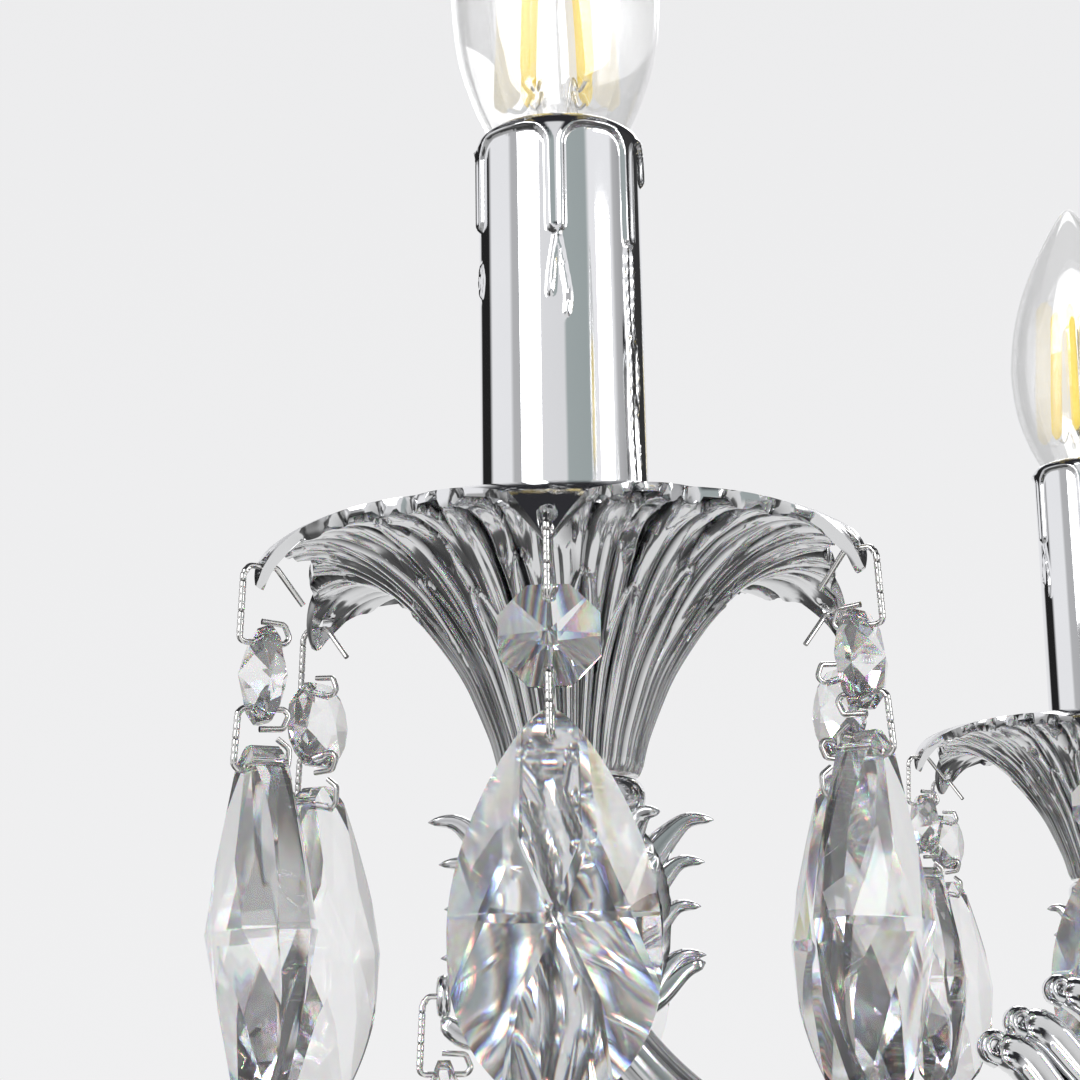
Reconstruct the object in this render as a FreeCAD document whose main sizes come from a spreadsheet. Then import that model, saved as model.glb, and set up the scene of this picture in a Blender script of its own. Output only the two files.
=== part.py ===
"""Crystal chandelier with five cast acanthus arms, hung from a ceiling canopy by a short chain.

Millimetres, +Z up. The origin is the centre of the ceiling bracket's upper face, so the whole
object lies below z = 0. Arm k carries, from the bottom up: a fluted lily bobeche with six lips,
a threaded nipple with its nut, a lampholder, a candle sleeve and a candle bulb. A crystal
pendant hangs from each lip and from the leaf curl at the end of each arm.
"""
import FreeCAD, Part
import math
import os
import Sketcher
from FreeCAD import Placement, Rotation, Vector

# ---------------------------------------------------------------- driving sizes (mm, degrees)

SIZES = (
    ("arm_count", 5, "arms round the centre column"),
    ("arm_heading", 184.0, "direction of the first arm, anticlockwise from +X"),
    ("candle_radius", 221.0, "centre column to candle axis"),
    ("bobeche_level", -350.0, "underside of a bobeche's foot"),
    ("seat_gap", 0.3, "clearance between pieces that seat on each other"),
    ("bracket_end_gap", 6.0, "canopy rim beyond each end of the ceiling bracket"),
    ("bracket_width", 24.0, "ceiling bracket"),
    ("bracket_thick", 2.5, "ceiling bracket"),
    ("bracket_hole", 2.5, "radius of a ceiling screw hole"),
    ("bracket_pitch", 88.0, "distance between the ceiling screws"),
    ("stud_radius", 2.0, "studs that carry the canopy"),
    ("stud_pitch", 56.0, "distance between the studs"),
    ("canopy_radius", 62.0, "canopy rim"),
    ("canopy_height", 30.0, "canopy depth under the ceiling"),
    ("canopy_wall", 1.5, "canopy sheet"),
    ("canopy_flat", 38.0, "flat face at the canopy's foot"),
    ("nut_radius", 4.2, "corner radius of a canopy cap nut"),
    ("nut_height", 7.5, "canopy cap nut"),
    ("rod_radius", 5.0, "M10 threaded tube"),
    ("rod_bore", 3.5, "cable way in a threaded tube"),
    ("rod_fit", 0.2, "radial clearance of pieces threaded on a tube"),
    ("ring_radius", 9.5, "hanging ring, to the middle of its wire"),
    ("chain_wire", 1.5, "wire radius of the rings and chain links"),
    ("chain_gap", 0.5, "play between two rings of the chain"),
    ("link_length", 28.0, "chain link, to the middle of its wire"),
    ("link_width", 13.0, "chain link, to the middle of its wire"),
    ("collar_length", 5.0, "nut under a hanging ring"),
    ("crown_height", 24.0, "leaf crown under the top ring"),
    ("crown_radius", 27.0, "leaf crown"),
    ("baluster_height", 88.0, "upper baluster"),
    ("baluster_radius", 21.0, "upper baluster's belly"),
    ("hub_radius", 37.0, "arm hub, to its corners"),
    ("hub_height", 22.0, "arm hub"),
    ("hub_depth", 12.0, "how far an arm reaches into the hub"),
    ("column_radius", 27.0, "centre column's belly"),
    ("bowl_height", 34.0, "lower bowl"),
    ("bowl_radius", 33.0, "lower bowl"),
    ("finial_height", 34.0, "finial below the bowl"),
    ("finial_radius", 11.0, "finial"),
    ("eye_width", 8.0, "flat eye under the finial"),
    ("eye_thick", 3.0, "flat eye under the finial"),
    ("ball_radius", 20.0, "faceted crystal ball"),
    ("ball_drop", 12.0, "top of the ball's neck below the finial's eye"),
    ("foot_radius", 10.5, "bobeche foot"),
    ("bobeche_radius", 50.0, "bobeche rim between two lips"),
    ("bobeche_rise", 34.0, "bobeche rim above its foot"),
    ("bobeche_wall", 2.3, "bobeche metal at the rim"),
    ("lip_drop", 9.0, "how far a lip hangs below the rim"),
    ("lip_heading", 22.5, "a lily's first lip, from the arm's outward direction"),
    ("lip_half_angle", 7.4, "half of a lip's width, seen from the candle"),
    ("hook_radius", 50.6, "candle axis to a hook hole"),
    ("hook_level", 29.6, "hook hole above the bobeche's foot"),
    ("hook_half", 0.9, "half width of a hook hole"),
    ("flute_depth", 1.6, "flutes of the lily"),
    ("cup_level", 25.5, "floor of the bobeche's cup, above its foot"),
    ("cup_radius", 18.0, "floor of the bobeche's cup"),
    ("sleeve_radius", 13.6, "candle sleeve at its foot"),
    ("sleeve_taper", 0.3, "how much thinner the sleeve is at its shoulder"),
    ("sleeve_length", 79.1, "candle sleeve"),
    ("sleeve_wall", 1.3, "candle sleeve"),
    ("holder_radius", 11.4, "lampholder"),
    ("holder_length", 52.0, "lampholder"),
    ("holder_level", 47.0, "lampholder's foot above the bobeche's foot"),
    ("socket_depth", 30.0, "lampholder's socket"),
    ("nipple_drop", 18.0, "nipple's reach into the arm"),
    ("nipple_rise", 52.0, "nipple's top above the bobeche's foot"),
    ("lock_nut_radius", 9.0, "hexagon nut on the nipple, to its corners"),
    ("lock_nut_height", 4.0, "hexagon nut on the nipple"),
    ("cap_radius", 7.0, "E14 screw cap of a bulb"),
    ("cap_length", 26.0, "E14 screw cap of a bulb"),
    ("bulb_radius", 17.5, "C35 candle bulb"),
    ("bulb_length", 78.0, "glass of the candle bulb above its cap"),
    ("collar_radius", 11.7, "bead ring at the top of an arm"),
    ("collar_height", 6.0, "bead ring at the top of an arm"),
    ("arm_radius", 5.4, "arm tube at the candle"),
    ("arm_belly", 6.4, "arm tube at its lowest point"),
    ("spigot_radius", 5.4, "arm tube at the hub"),
    ("arm_dip", 62.0, "middle of the arm's lowest point under the bobeche's foot"),
    ("arm_entry", 38.0, "arm's entry into the hub, under the bobeche's foot"),
    ("leaf_thick", 6.0, "cast leaves of an arm"),
    ("leaf_reach", 22.0, "leaf tips beside the candle axis"),
    ("curl_level", 33.0, "hook hole of the leaf curl under the bobeche's foot"),
    ("curl_radius", 20.0, "candle axis to that hook hole"),
    ("scroll_reach", 72.0, "candle axis to the scroll leaf's top lobe"),
    ("scroll_level", 30.7, "that lobe under the bobeche's foot"),
    ("wire_radius", 0.6, "corner radius of a pendant's three-sided wire"),
    ("bead_size", 14.0, "octagon bead across its flats"),
    ("bead_thick", 7.4, "octagon bead"),
    ("bead_drop", 16.4, "octagon's centre below the hook hole"),
    ("bead_hole_offset", 4.9, "drilled hole from the octagon's centre"),
    ("drop_length", 54.2, "almond drop"),
    ("drop_width", 28.0, "almond drop"),
    ("drop_thick", 10.0, "almond drop"),
    ("drop_top", 26.9, "almond drop's top below the hook hole"),
    ("drop_hole_offset", 3.6, "drilled hole below the drop's top"),
)

LIPS = 6
ROUND_SIDES = 12
COLLAR_SIDES = 8
ARM_SIDES = 6
CANOPY_SIDES = 16
BULB_SIDES = 10
NIPPLE_SIDES = 6
CHAIN_LINKS = 3
SHEET_NAME = "Dims"


class Size:
    """A number that also knows its cell expression, so that a sketch can be bound to it."""

    def __init__(self, text, value):
        self.text = text
        self.value = value

    def combined(self, sign, other, value):
        other_text = other.text if isinstance(other, Size) else repr(float(other))
        return Size("(%s %s %s)" % (self.text, sign, other_text), value)

    def __add__(self, other):
        return self.combined("+", other, self.value + float(other))

    def __sub__(self, other):
        return self.combined("-", other, self.value - float(other))

    def __mul__(self, other):
        return self.combined("*", other, self.value * float(other))

    def __neg__(self):
        return self * -1.0

    def __float__(self):
        return float(self.value)


class Dims:
    """The sheet's aliases: as plain numbers by attribute, or bound to their cells by cell()."""

    def __init__(self, sheet):
        self.bound = {}
        for row, (alias, value, note) in enumerate(SIZES, start=1):
            sheet.set("A%d" % row, note)
            sheet.set("B%d" % row, str(value))
            sheet.setAlias("B%d" % row, alias)
            self.bound[alias] = Size("%s.%s" % (SHEET_NAME, alias), float(value))
            setattr(self, alias, float(value))

    def cell(self, alias):
        return self.bound[alias]


doc = FreeCAD.newDocument("CrystalChandelier")
dims = Dims(doc.addObject("Spreadsheet::Sheet", SHEET_NAME))
cell = dims.cell
doc.recompute()
pieces = []

# ---------------------------------------------------------------- places worked out from the sizes

ARM_COUNT = int(dims.arm_count)
# Two wires that cross in the chain keep this distance between their middles.
CHAIN_STEP = 2.0 * dims.chain_wire + dims.chain_gap
CANOPY_RING_LEVEL = -dims.canopy_height - dims.collar_length - dims.ring_radius
LINK_TOPS = [CANOPY_RING_LEVEL - dims.ring_radius + CHAIN_STEP]
for _ in range(CHAIN_LINKS):
    LINK_TOPS.append(LINK_TOPS[-1] - dims.link_length + CHAIN_STEP)
TOP_RING_LEVEL = LINK_TOPS[CHAIN_LINKS] - dims.ring_radius
STACK_TOP = TOP_RING_LEVEL - dims.ring_radius - dims.collar_length
CROWN_FOOT = STACK_TOP - dims.crown_height
BALUSTER_FOOT = CROWN_FOOT - dims.baluster_height
HUB_TOP = dims.bobeche_level - dims.arm_entry + 0.5 * dims.hub_height
COLUMN_HEIGHT = BALUSTER_FOOT - HUB_TOP
HUB_FOOT = HUB_TOP - dims.hub_height
HUB_FLAT = dims.hub_radius * math.cos(math.pi / (2 * ARM_COUNT))
BOWL_FOOT = HUB_FOOT - dims.bowl_height
FINIAL_FOOT = BOWL_FOOT - dims.finial_height
ROD_HOLE = dims.rod_radius + dims.rod_fit
# A hole's flat facets touch its true radius, so its corners lie this much further out.
ROUND_HOLE = 1.0 / math.cos(math.pi / ROUND_SIDES)
NIPPLE_HOLE = ROD_HOLE / math.cos(math.pi / NIPPLE_SIDES)
STUD_END = 3.5
TUBE_IN_FINIAL = 6.0


# ---------------------------------------------------------------- document helpers

def keep(item):
    """Lists a finished object as a piece that is written out under its label."""
    pieces.append(item)
    return item


def feature(label, shape, placement=Placement()):
    """Puts a shape made with Part's functions into the document as a piece."""
    item = doc.addObject("Part::Feature", label)
    item.Label = label
    item.Shape = shape
    item.Placement = placement
    return keep(item)


def origin_plane(body, role):
    return [plane for plane in body.Origin.OriginFeatures if plane.Role == role][0]


def bind_point(sketch, edge, point, kind, axis, size):
    """Holds one coordinate of a point: on the axis, or at a distance bound to the sheet."""
    if abs(float(size)) < 1e-9:
        sketch.addConstraint(Sketcher.Constraint("PointOnObject", edge, point, axis))
        return
    number = sketch.addConstraint(Sketcher.Constraint(kind, -1, 1, edge, point, float(size)))
    if isinstance(size, Size):
        sketch.setExpression("Constraints[%d]" % number, size.text)


def outline_sketch(body, name, role, points):
    """A closed outline of straight edges whose corners are bound to the sheet."""
    sketch = body.newObject("Sketcher::SketchObject", name)
    sketch.AttachmentSupport = [(origin_plane(body, role), "")]
    sketch.MapMode = "FlatFace"
    corners = [Vector(float(across), float(along), 0) for across, along in points]
    for start, end in zip(corners, corners[1:] + corners[:1]):
        sketch.addGeometry(Part.LineSegment(start, end), False)
    for edge in range(len(corners)):
        following = (edge + 1) % len(corners)
        sketch.addConstraint(Sketcher.Constraint("Coincident", edge, 2, following, 1))
    for edge, (across, along) in enumerate(points):
        bind_point(sketch, edge, 1, "DistanceX", -2, across)
        bind_point(sketch, edge, 1, "DistanceY", -1, along)
    return sketch


def circle_sketch(body, name, role, radius, across=0.0, level=0.0):
    """One circle in a base plane, its radius and place bound to the sheet."""
    sketch = body.newObject("Sketcher::SketchObject", name)
    sketch.AttachmentSupport = [(origin_plane(body, role), "")]
    sketch.MapMode = "FlatFace"
    centre = Vector(float(across), float(level), 0)
    sketch.addGeometry(Part.Circle(centre, Vector(0, 0, 1), float(radius)), False)
    number = sketch.addConstraint(Sketcher.Constraint("Radius", 0, float(radius)))
    sketch.setExpression("Constraints[%d]" % number, radius.text)
    bind_point(sketch, 0, 3, "DistanceX", -2, across)
    bind_point(sketch, 0, 3, "DistanceY", -1, level)
    return sketch


def new_body(label, level):
    """A body whose base lies at a level of the chandelier."""
    body = doc.addObject("PartDesign::Body", label)
    body.Label = label
    body.Placement = Placement(Vector(0, 0, level), Rotation())
    return body


def pad(body, name, sketch, length, both_ways=False):
    solid = body.newObject("PartDesign::Pad", name)
    solid.Profile = sketch
    solid.Length = float(length)
    solid.setExpression("Length", length.text)
    solid.Midplane = both_ways
    return solid


def pocket_through(body, name, sketch, one_way=False):
    """Cuts a sketch right through the body, both ways or only along the plane's normal."""
    doc.recompute()
    before = body.Shape.Volume
    cut = body.newObject("PartDesign::Pocket", name)
    cut.Profile = sketch
    cut.Type = 1
    cut.Midplane = not one_way
    cut.Reversed = one_way
    doc.recompute()
    if body.Shape.Volume > before - 1e-3:
        raise ValueError("%s cuts nothing" % name)
    return cut


def polar(body, name, cut, count):
    """Repeats a feature round the upright axis."""
    pattern = body.newObject("PartDesign::PolarPattern", name)
    pattern.Originals = [cut]
    pattern.Axis = (origin_plane(body, "Z_Axis"), [""])
    pattern.Angle = 360
    pattern.Occurrences = count
    body.Tip = pattern
    return pattern


# ---------------------------------------------------------------- shapes made of flat facets

def flat_face(corners):
    """A flat face; corners that fall together with the one before count once."""
    kept = [corner for k, corner in enumerate(corners)
            if (corner - corners[k - 1]).Length > 1e-6]
    return Part.Face(Part.makePolygon(kept + [kept[0]]))


def quad_faces(*corners):
    """One flat face, two triangles where it isn't flat, or nothing where corners fall together."""
    kept = [corner for k, corner in enumerate(corners)
            if (corner - corners[k - 1]).Length > 1e-6]
    if len(kept) < 3:
        return []
    if len(kept) == 4:
        first, second, third, fourth = kept
        normal = (second - first).cross(third - first)
        if abs(normal.dot(fourth - first)) > 1e-7 * normal.Length:
            return [flat_face([first, second, third]), flat_face([first, third, fourth])]
    return [flat_face(kept)]


def solid_of(faces):
    solid = Part.Solid(Part.Shell(faces))
    if solid.Volume < 0:
        solid.reverse()
    return solid


def faceted_loft(rings, closed=False):
    """A loft through rings of equally many corners, with flat ends or closed on itself."""
    faces = []
    if not closed:
        faces.append(flat_face(rings[0]))
        faces.append(flat_face(rings[-1]))
    followers = rings[1:] + (rings[:1] if closed else [])
    for lower, upper in zip(rings, followers):
        for k in range(len(lower)):
            after = (k + 1) % len(lower)
            faces += quad_faces(lower[k], lower[after], upper[after], upper[k])
    return solid_of(faces)


def polygon(radius, level, sides, start=0.0):
    """Corners of a level regular polygon round the upright axis."""
    step = 2.0 * math.pi / sides
    return [Vector(radius * math.cos(start + k * step), radius * math.sin(start + k * step), level)
            for k in range(sides)]


def star(radius, level, flutes, depth):
    """A level polygon whose corners lie by turns on the radius and a flute's depth inside it."""
    step = math.pi / flutes
    corners = []
    for k in range(2 * flutes):
        reach = radius - (depth if k % 2 else 0.0)
        corners.append(Vector(reach * math.cos(k * step), reach * math.sin(k * step), level))
    return corners


def square_bar(start, end, half):
    """A square bar along X, to drill or to pass a wire's hole."""
    bar = Part.makeBox(end - start, 2.0 * half, 2.0 * half)
    bar.translate(Vector(start, -half, -half))
    return bar


def moved(shape, place):
    result = shape.copy()
    result.translate(place)
    return result


def bent_wire(path):
    """A three-sided wire along a path in the XZ plane, with mitred corners."""
    rings = []
    for k, point in enumerate(path):
        before = (point - path[k - 1]).normalize() if k > 0 else None
        after = (path[k + 1] - point).normalize() if k + 1 < len(path) else before
        before = before or after
        first = Vector(-before.z, 0, before.x)
        second = Vector(-after.z, 0, after.x)
        mitre = (first + second).normalize()
        mitre = mitre * (dims.wire_radius / mitre.dot(first))
        side = Vector(0, dims.wire_radius * math.sin(math.pi / 3), 0)
        rings.append([point + mitre, point - mitre * 0.5 - side, point - mitre * 0.5 + side])
    return faceted_loft(rings)


def wire_ring(stations, radius, sides=6):
    """A closed ring of round wire through stations (middle, outward direction) in one plane."""
    rings = []
    for k, (middle, outward) in enumerate(stations):
        ahead = stations[(k + 1) % len(stations)][0]
        behind = stations[k - 1][0]
        across = outward.cross((ahead - behind).normalize()).normalize()
        rings.append([middle + outward * (radius * math.cos(2 * math.pi * j / sides))
                      + across * (radius * math.sin(2 * math.pi * j / sides))
                      for j in range(sides)])
    return faceted_loft(rings, closed=True)


def stadium_ring(width, length, bend_steps=4):
    """A chain link in the XZ plane, hanging from the origin at the middle of its top bend."""
    bend = 0.5 * width
    stations = []
    for centre_level, start in ((-bend, 0.0), (bend - length, math.pi)):
        for k in range(bend_steps + 1):
            angle = start + math.pi * k / bend_steps
            outward = Vector(math.cos(angle), 0, math.sin(angle))
            stations.append((Vector(0, 0, centre_level) + outward * bend, outward))
    return wire_ring(stations, dims.chain_wire)


def hanging_ring(steps=8):
    """A round ring in the XZ plane with its middle at the origin."""
    stations = []
    for k in range(steps):
        angle = 2.0 * math.pi * k / steps + 0.5 * math.pi
        outward = Vector(math.cos(angle), 0, math.sin(angle))
        stations.append((outward * dims.ring_radius, outward))
    return wire_ring(stations, dims.chain_wire)


# ---------------------------------------------------------------- ceiling pieces and chain

def regular_outline(radius, sides, across=0.0, level=0.0):
    """Corners of a regular outline about a place in a sketch, bound to the sheet."""
    points = []
    for k in range(sides):
        angle = 2.0 * math.pi * (k + 0.5) / sides
        points.append((radius * math.cos(angle) + across, radius * math.sin(angle) + level))
    return points


def ceiling_bracket():
    """Flat bar with two ceiling screw holes, a middle hole for the tube and two studs."""
    body = new_body("ceiling_bracket", -dims.bracket_thick)
    half_length = cell("canopy_radius") - cell("bracket_end_gap")
    half_width = cell("bracket_width") * 0.5
    bar = outline_sketch(body, "bar_outline", "XY_Plane",
                         [(-half_length, -half_width), (half_length, -half_width),
                          (half_length, half_width), (-half_length, half_width)])
    pad(body, "bar", bar, cell("bracket_thick"))
    tube_hole = (cell("rod_radius") + cell("rod_fit")) * ROUND_HOLE
    middle = outline_sketch(body, "tube_hole_outline", "XY_Plane",
                            regular_outline(tube_hole, ROUND_SIDES))
    pocket_through(body, "tube_hole", middle)
    for side, name in ((-0.5, "screw_hole_left"), (0.5, "screw_hole_right")):
        hole = circle_sketch(body, name + "_outline", "XY_Plane", cell("bracket_hole"),
                             cell("bracket_pitch") * side)
        pocket_through(body, name, hole)
    for side, name in ((-0.5, "stud_left"), (0.5, "stud_right")):
        stud = outline_sketch(body, name + "_outline", "XY_Plane", regular_outline(
            cell("stud_radius"), 6, cell("stud_pitch") * side))
        grown = pad(body, name, stud, cell("canopy_height") + STUD_END - cell("bracket_thick"))
        grown.Reversed = True
    return keep(body)


def canopy():
    """Dished sheet cover with a flat foot, holes for the studs and one for the tube."""
    wall = dims.canopy_wall
    rim = dims.canopy_radius
    foot = dims.canopy_flat
    depth = dims.canopy_height
    bore = ROD_HOLE * ROUND_HOLE
    waist = 0.5 * (rim + foot) + 3.0
    profile = ((rim - wall, 0.0), (rim, 0.0), (rim, -0.22 * depth), (waist, -0.74 * depth),
               (foot, -depth), (bore, -depth), (bore, wall - depth), (foot - 0.4 * wall, wall - depth),
               (waist - wall, 0.5 * wall - 0.74 * depth), (rim - wall, 0.3 * wall - 0.22 * depth))
    dish = faceted_loft([polygon(radius, level, CANOPY_SIDES) for radius, level in profile],
                        closed=True)
    for side in (-0.5, 0.5):
        hole = faceted_loft([polygon(dims.stud_radius + dims.seat_gap, level, 6, math.pi / 6)
                             for level in (-depth - 1.0, 1.0 + wall - depth)])
        dish = dish.cut(moved(hole, Vector(side * dims.stud_pitch, 0, 0)))
    return feature("canopy", dish)


def canopy_nuts():
    """Two cap nuts that hold the canopy on the bracket's studs."""
    size = dims.nut_radius
    height = dims.nut_height
    top = -dims.canopy_height - dims.seat_gap
    nut = faceted_loft([polygon(size, top, 6), polygon(size, top - 0.55 * height, 6),
                        polygon(0.35 * size, top - height, 6)])
    thread = faceted_loft([polygon(dims.stud_radius + dims.rod_fit, level, 6, math.pi / 6)
                           for level in (top - 0.55 * height, top + 1.0)])
    nut = nut.cut(thread)
    half = 0.5 * dims.stud_pitch
    return feature("canopy_nuts", Part.Compound([moved(nut, Vector(-half, 0, 0)),
                                                 moved(nut, Vector(half, 0, 0))]))


def canopy_ring():
    """Threaded tube through bracket and canopy, with a collar nut and the first ring."""
    tube = faceted_loft([polygon(dims.rod_radius, 0.0, ROUND_SIDES),
                         polygon(dims.rod_radius, -dims.canopy_height - 1.0, ROUND_SIDES)])
    top = -dims.canopy_height - dims.seat_gap
    nut = faceted_loft([polygon(1.5 * dims.rod_radius, top, 6),
                        polygon(1.5 * dims.rod_radius, top - dims.collar_length, 6)])
    ring = moved(hanging_ring(), Vector(0, 0, CANOPY_RING_LEVEL))
    return feature("canopy_ring", tube.fuse([nut, ring]).removeSplitter())


def chain_link(number):
    """One oval link; every second one is turned by a quarter."""
    turn_angle = 90.0 if number % 2 == 0 else 0.0
    place = Placement(Vector(0, 0, LINK_TOPS[number]), Rotation(Vector(0, 0, 1), turn_angle))
    return feature("chain_link_%d" % (number + 1),
                   stadium_ring(dims.link_width, dims.link_length), place)


def top_ring():
    """The ring that carries the chandelier, on a nut threaded on the centre tube."""
    ring = hanging_ring()
    top = -dims.ring_radius + 0.5 * dims.chain_wire
    foot = -dims.ring_radius - dims.collar_length + dims.seat_gap
    nut = faceted_loft([polygon(0.8 * dims.rod_radius, top, 6),
                        polygon(1.7 * dims.rod_radius, -dims.ring_radius - 1.0, 6),
                        polygon(1.7 * dims.rod_radius, foot, 6)])
    place = Placement(Vector(0, 0, TOP_RING_LEVEL), Rotation())
    bore = faceted_loft([polygon(ROD_HOLE * ROUND_HOLE, level, ROUND_SIDES)
                         for level in (foot - 1.0, foot + 3.0)])
    return feature("top_ring", ring.fuse(nut).cut(bore), place)


# ---------------------------------------------------------------- centre column

def centre_tube():
    """The long threaded tube on which the column's pieces are stacked."""
    top = STACK_TOP + 2.5
    foot = BOWL_FOOT - TUBE_IN_FINIAL
    tube = faceted_loft([polygon(dims.rod_radius, foot, ROUND_SIDES),
                         polygon(dims.rod_radius, top, ROUND_SIDES),
                         polygon(dims.rod_bore, top, ROUND_SIDES),
                         polygon(dims.rod_bore, foot, ROUND_SIDES)], closed=True)
    return feature("centre_tube", tube)


def fluted(label, foot, height, radii):
    """A fluted casting with a bore: star-shaped sections at shares of its height."""
    flutes = ARM_COUNT
    usable = height - dims.seat_gap
    rings = [star(radius, share * usable, flutes, depth) for share, radius, depth in radii]
    body = faceted_loft(rings)
    bore = faceted_loft([polygon(ROD_HOLE * ROUND_HOLE, level, ROUND_SIDES)
                         for level in (-1.0, height + 1.0)])
    return feature(label, body.cut(bore), Placement(Vector(0, 0, foot), Rotation()))


def leaf_crown():
    """Cast crown of leaves that flare out and turn down at their tips."""
    rim = dims.crown_radius
    return fluted("leaf_crown", CROWN_FOOT, dims.crown_height, (
        (0.0, 0.42 * rim, 1.0), (0.45, 0.55 * rim, 1.6), (0.62, rim, 5.0),
        (0.78, 0.93 * rim, 5.0), (1.0, 0.38 * rim, 1.0)))


def upper_baluster():
    """Slender fluted vase between the crown and the centre column."""
    belly = dims.baluster_radius
    return fluted("upper_baluster", BALUSTER_FOOT, dims.baluster_height, (
        (0.0, 0.62 * belly, 0.8), (0.10, 0.50 * belly, 1.0), (0.42, belly, 2.2),
        (0.66, 0.60 * belly, 1.4), (0.90, 0.45 * belly, 0.8), (1.0, 0.66 * belly, 0.8)))


def centre_column():
    """Fluted vase that stands on the arm hub."""
    belly = dims.column_radius
    return fluted("centre_column", HUB_TOP, COLUMN_HEIGHT, (
        (0.0, 0.95 * belly, 1.5), (0.12, 0.62 * belly, 1.2), (0.30, 0.46 * belly, 0.8),
        (0.66, belly, 2.6), (0.84, 0.80 * belly, 2.0), (1.0, 0.48 * belly, 0.8)))


def arm_hub():
    """Ten-sided disc with a socket for each arm's spigot."""
    body = new_body("arm_hub", HUB_FOOT)
    disc = outline_sketch(body, "disc_outline", "XY_Plane",
                          regular_outline(cell("hub_radius"), 2 * ARM_COUNT))
    pad(body, "disc", disc, cell("hub_height") - cell("seat_gap"))
    bore = outline_sketch(body, "bore_outline", "XY_Plane", regular_outline(
        (cell("rod_radius") + cell("rod_fit")) * ROUND_HOLE, ROUND_SIDES))
    pocket_through(body, "bore", bore)
    socket = outline_sketch(body, "socket_outline", "YZ_Plane", regular_outline(
        cell("spigot_radius") + cell("seat_gap"), ARM_SIDES, level=cell("hub_height") * 0.5))
    cut = pocket_through(body, "socket", socket, one_way=True)
    polar(body, "sockets", cut, ARM_COUNT)
    body.Placement = Placement(Vector(0, 0, HUB_FOOT), Rotation(Vector(0, 0, 1), dims.arm_heading))
    return keep(body)


def lower_bowl():
    """Fluted bowl that closes the hub from below."""
    rim = dims.bowl_radius
    return fluted("lower_bowl", BOWL_FOOT, dims.bowl_height, (
        (0.0, 0.32 * rim, 0.6), (0.22, 0.55 * rim, 1.4), (0.60, 0.92 * rim, 2.6),
        (0.90, rim, 2.6), (1.0, 0.94 * rim, 1.6)))


def finial():
    """End nut, threaded on the tube, with a flat eye for the crystal ball."""
    belly = dims.finial_radius
    height = dims.finial_height
    profile = ((0.4, 0.22), (1.0, 0.55), (0.6, 0.8), (0.95, 1.0))
    nut = faceted_loft([polygon(share * belly, level * height - (level == 1.0) * dims.seat_gap,
                                2 * ARM_COUNT) for share, level in profile])
    bore = faceted_loft([polygon(ROD_HOLE * ROUND_HOLE, level, ROUND_SIDES)
                         for level in (height - TUBE_IN_FINIAL - 0.5, height + 1.0)])
    width = dims.eye_width
    eye = Part.makeBox(width, dims.eye_thick, 0.3 * height,
                       Vector(-0.5 * width, -0.5 * dims.eye_thick, 0))
    reach = dims.wire_radius + dims.seat_gap
    hole = Part.makeBox(2.0 * reach, width, 2.0 * reach,
                        Vector(-reach, -0.5 * width, 0.5 * width - reach))
    place = Placement(Vector(0, 0, FINIAL_FOOT), Rotation())
    return feature("finial", nut.fuse(eye).cut([bore, hole]).removeSplitter(), place)


def crystal_ball():
    """Faceted ball with a drilled neck, hung on a bent wire from the finial's eye."""
    radius = dims.ball_radius
    middle = -dims.ball_drop - radius
    rings = []
    for tilt in (-78.0, -46.0, -14.0, 14.0, 46.0, 72.0):
        angle = math.radians(tilt)
        rings.append(polygon(radius * math.cos(angle), middle + radius * math.sin(angle), 10))
    rings.append(polygon(0.17 * radius, middle + radius + 4.0, 10))
    hole_level = middle + radius + 1.2
    half = dims.wire_radius + dims.seat_gap
    ball = faceted_loft(rings).cut(moved(square_bar(-radius, radius, half),
                                         Vector(0, 0, hole_level)))
    out = 0.5 * dims.eye_thick + 1.6
    neck = 0.3 * radius
    wire = bent_wire([Vector(-out - 1.0, 0, -4.5), Vector(-out, 0, 0), Vector(out, 0, 0),
                      Vector(neck, 0, hole_level), Vector(-neck, 0, hole_level),
                      Vector(-neck + 1.0, 0, hole_level + 4.5)])
    eye_level = FINIAL_FOOT + 0.5 * dims.eye_width
    place = Placement(Vector(0, 0, eye_level), Rotation(Vector(0, 0, 1), 90.0))
    return feature("crystal_ball", Part.Compound([ball, wire]), place)


# ---------------------------------------------------------------- arms and what they carry

def arm_place(number):
    """The frame of an arm's candle: x away from the centre, z = 0 at the bobeche's foot."""
    heading = dims.arm_heading - 360.0 * number / ARM_COUNT
    turned = Rotation(Vector(0, 0, 1), heading)
    place = turned.multVec(Vector(dims.candle_radius, 0, 0))
    return Placement(Vector(place.x, place.y, dims.bobeche_level), turned)


def on_every_arm(label, shape):
    """One piece of the same shape on each arm, as separate solids of one node."""
    copies = []
    for number in range(ARM_COUNT):
        copy = shape.copy()
        copy.Placement = arm_place(number).multiply(copy.Placement)
        copies.append(copy)
    return feature(label, Part.Compound(copies))


def leaf_plate(outline):
    """A cast leaf in the arm's plane: its outline, with half the metal on each side."""
    half = 0.5 * dims.leaf_thick
    face = flat_face([Vector(x, -half, z) for x, z in outline])
    return face.extrude(Vector(0, dims.leaf_thick, 0))


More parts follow.
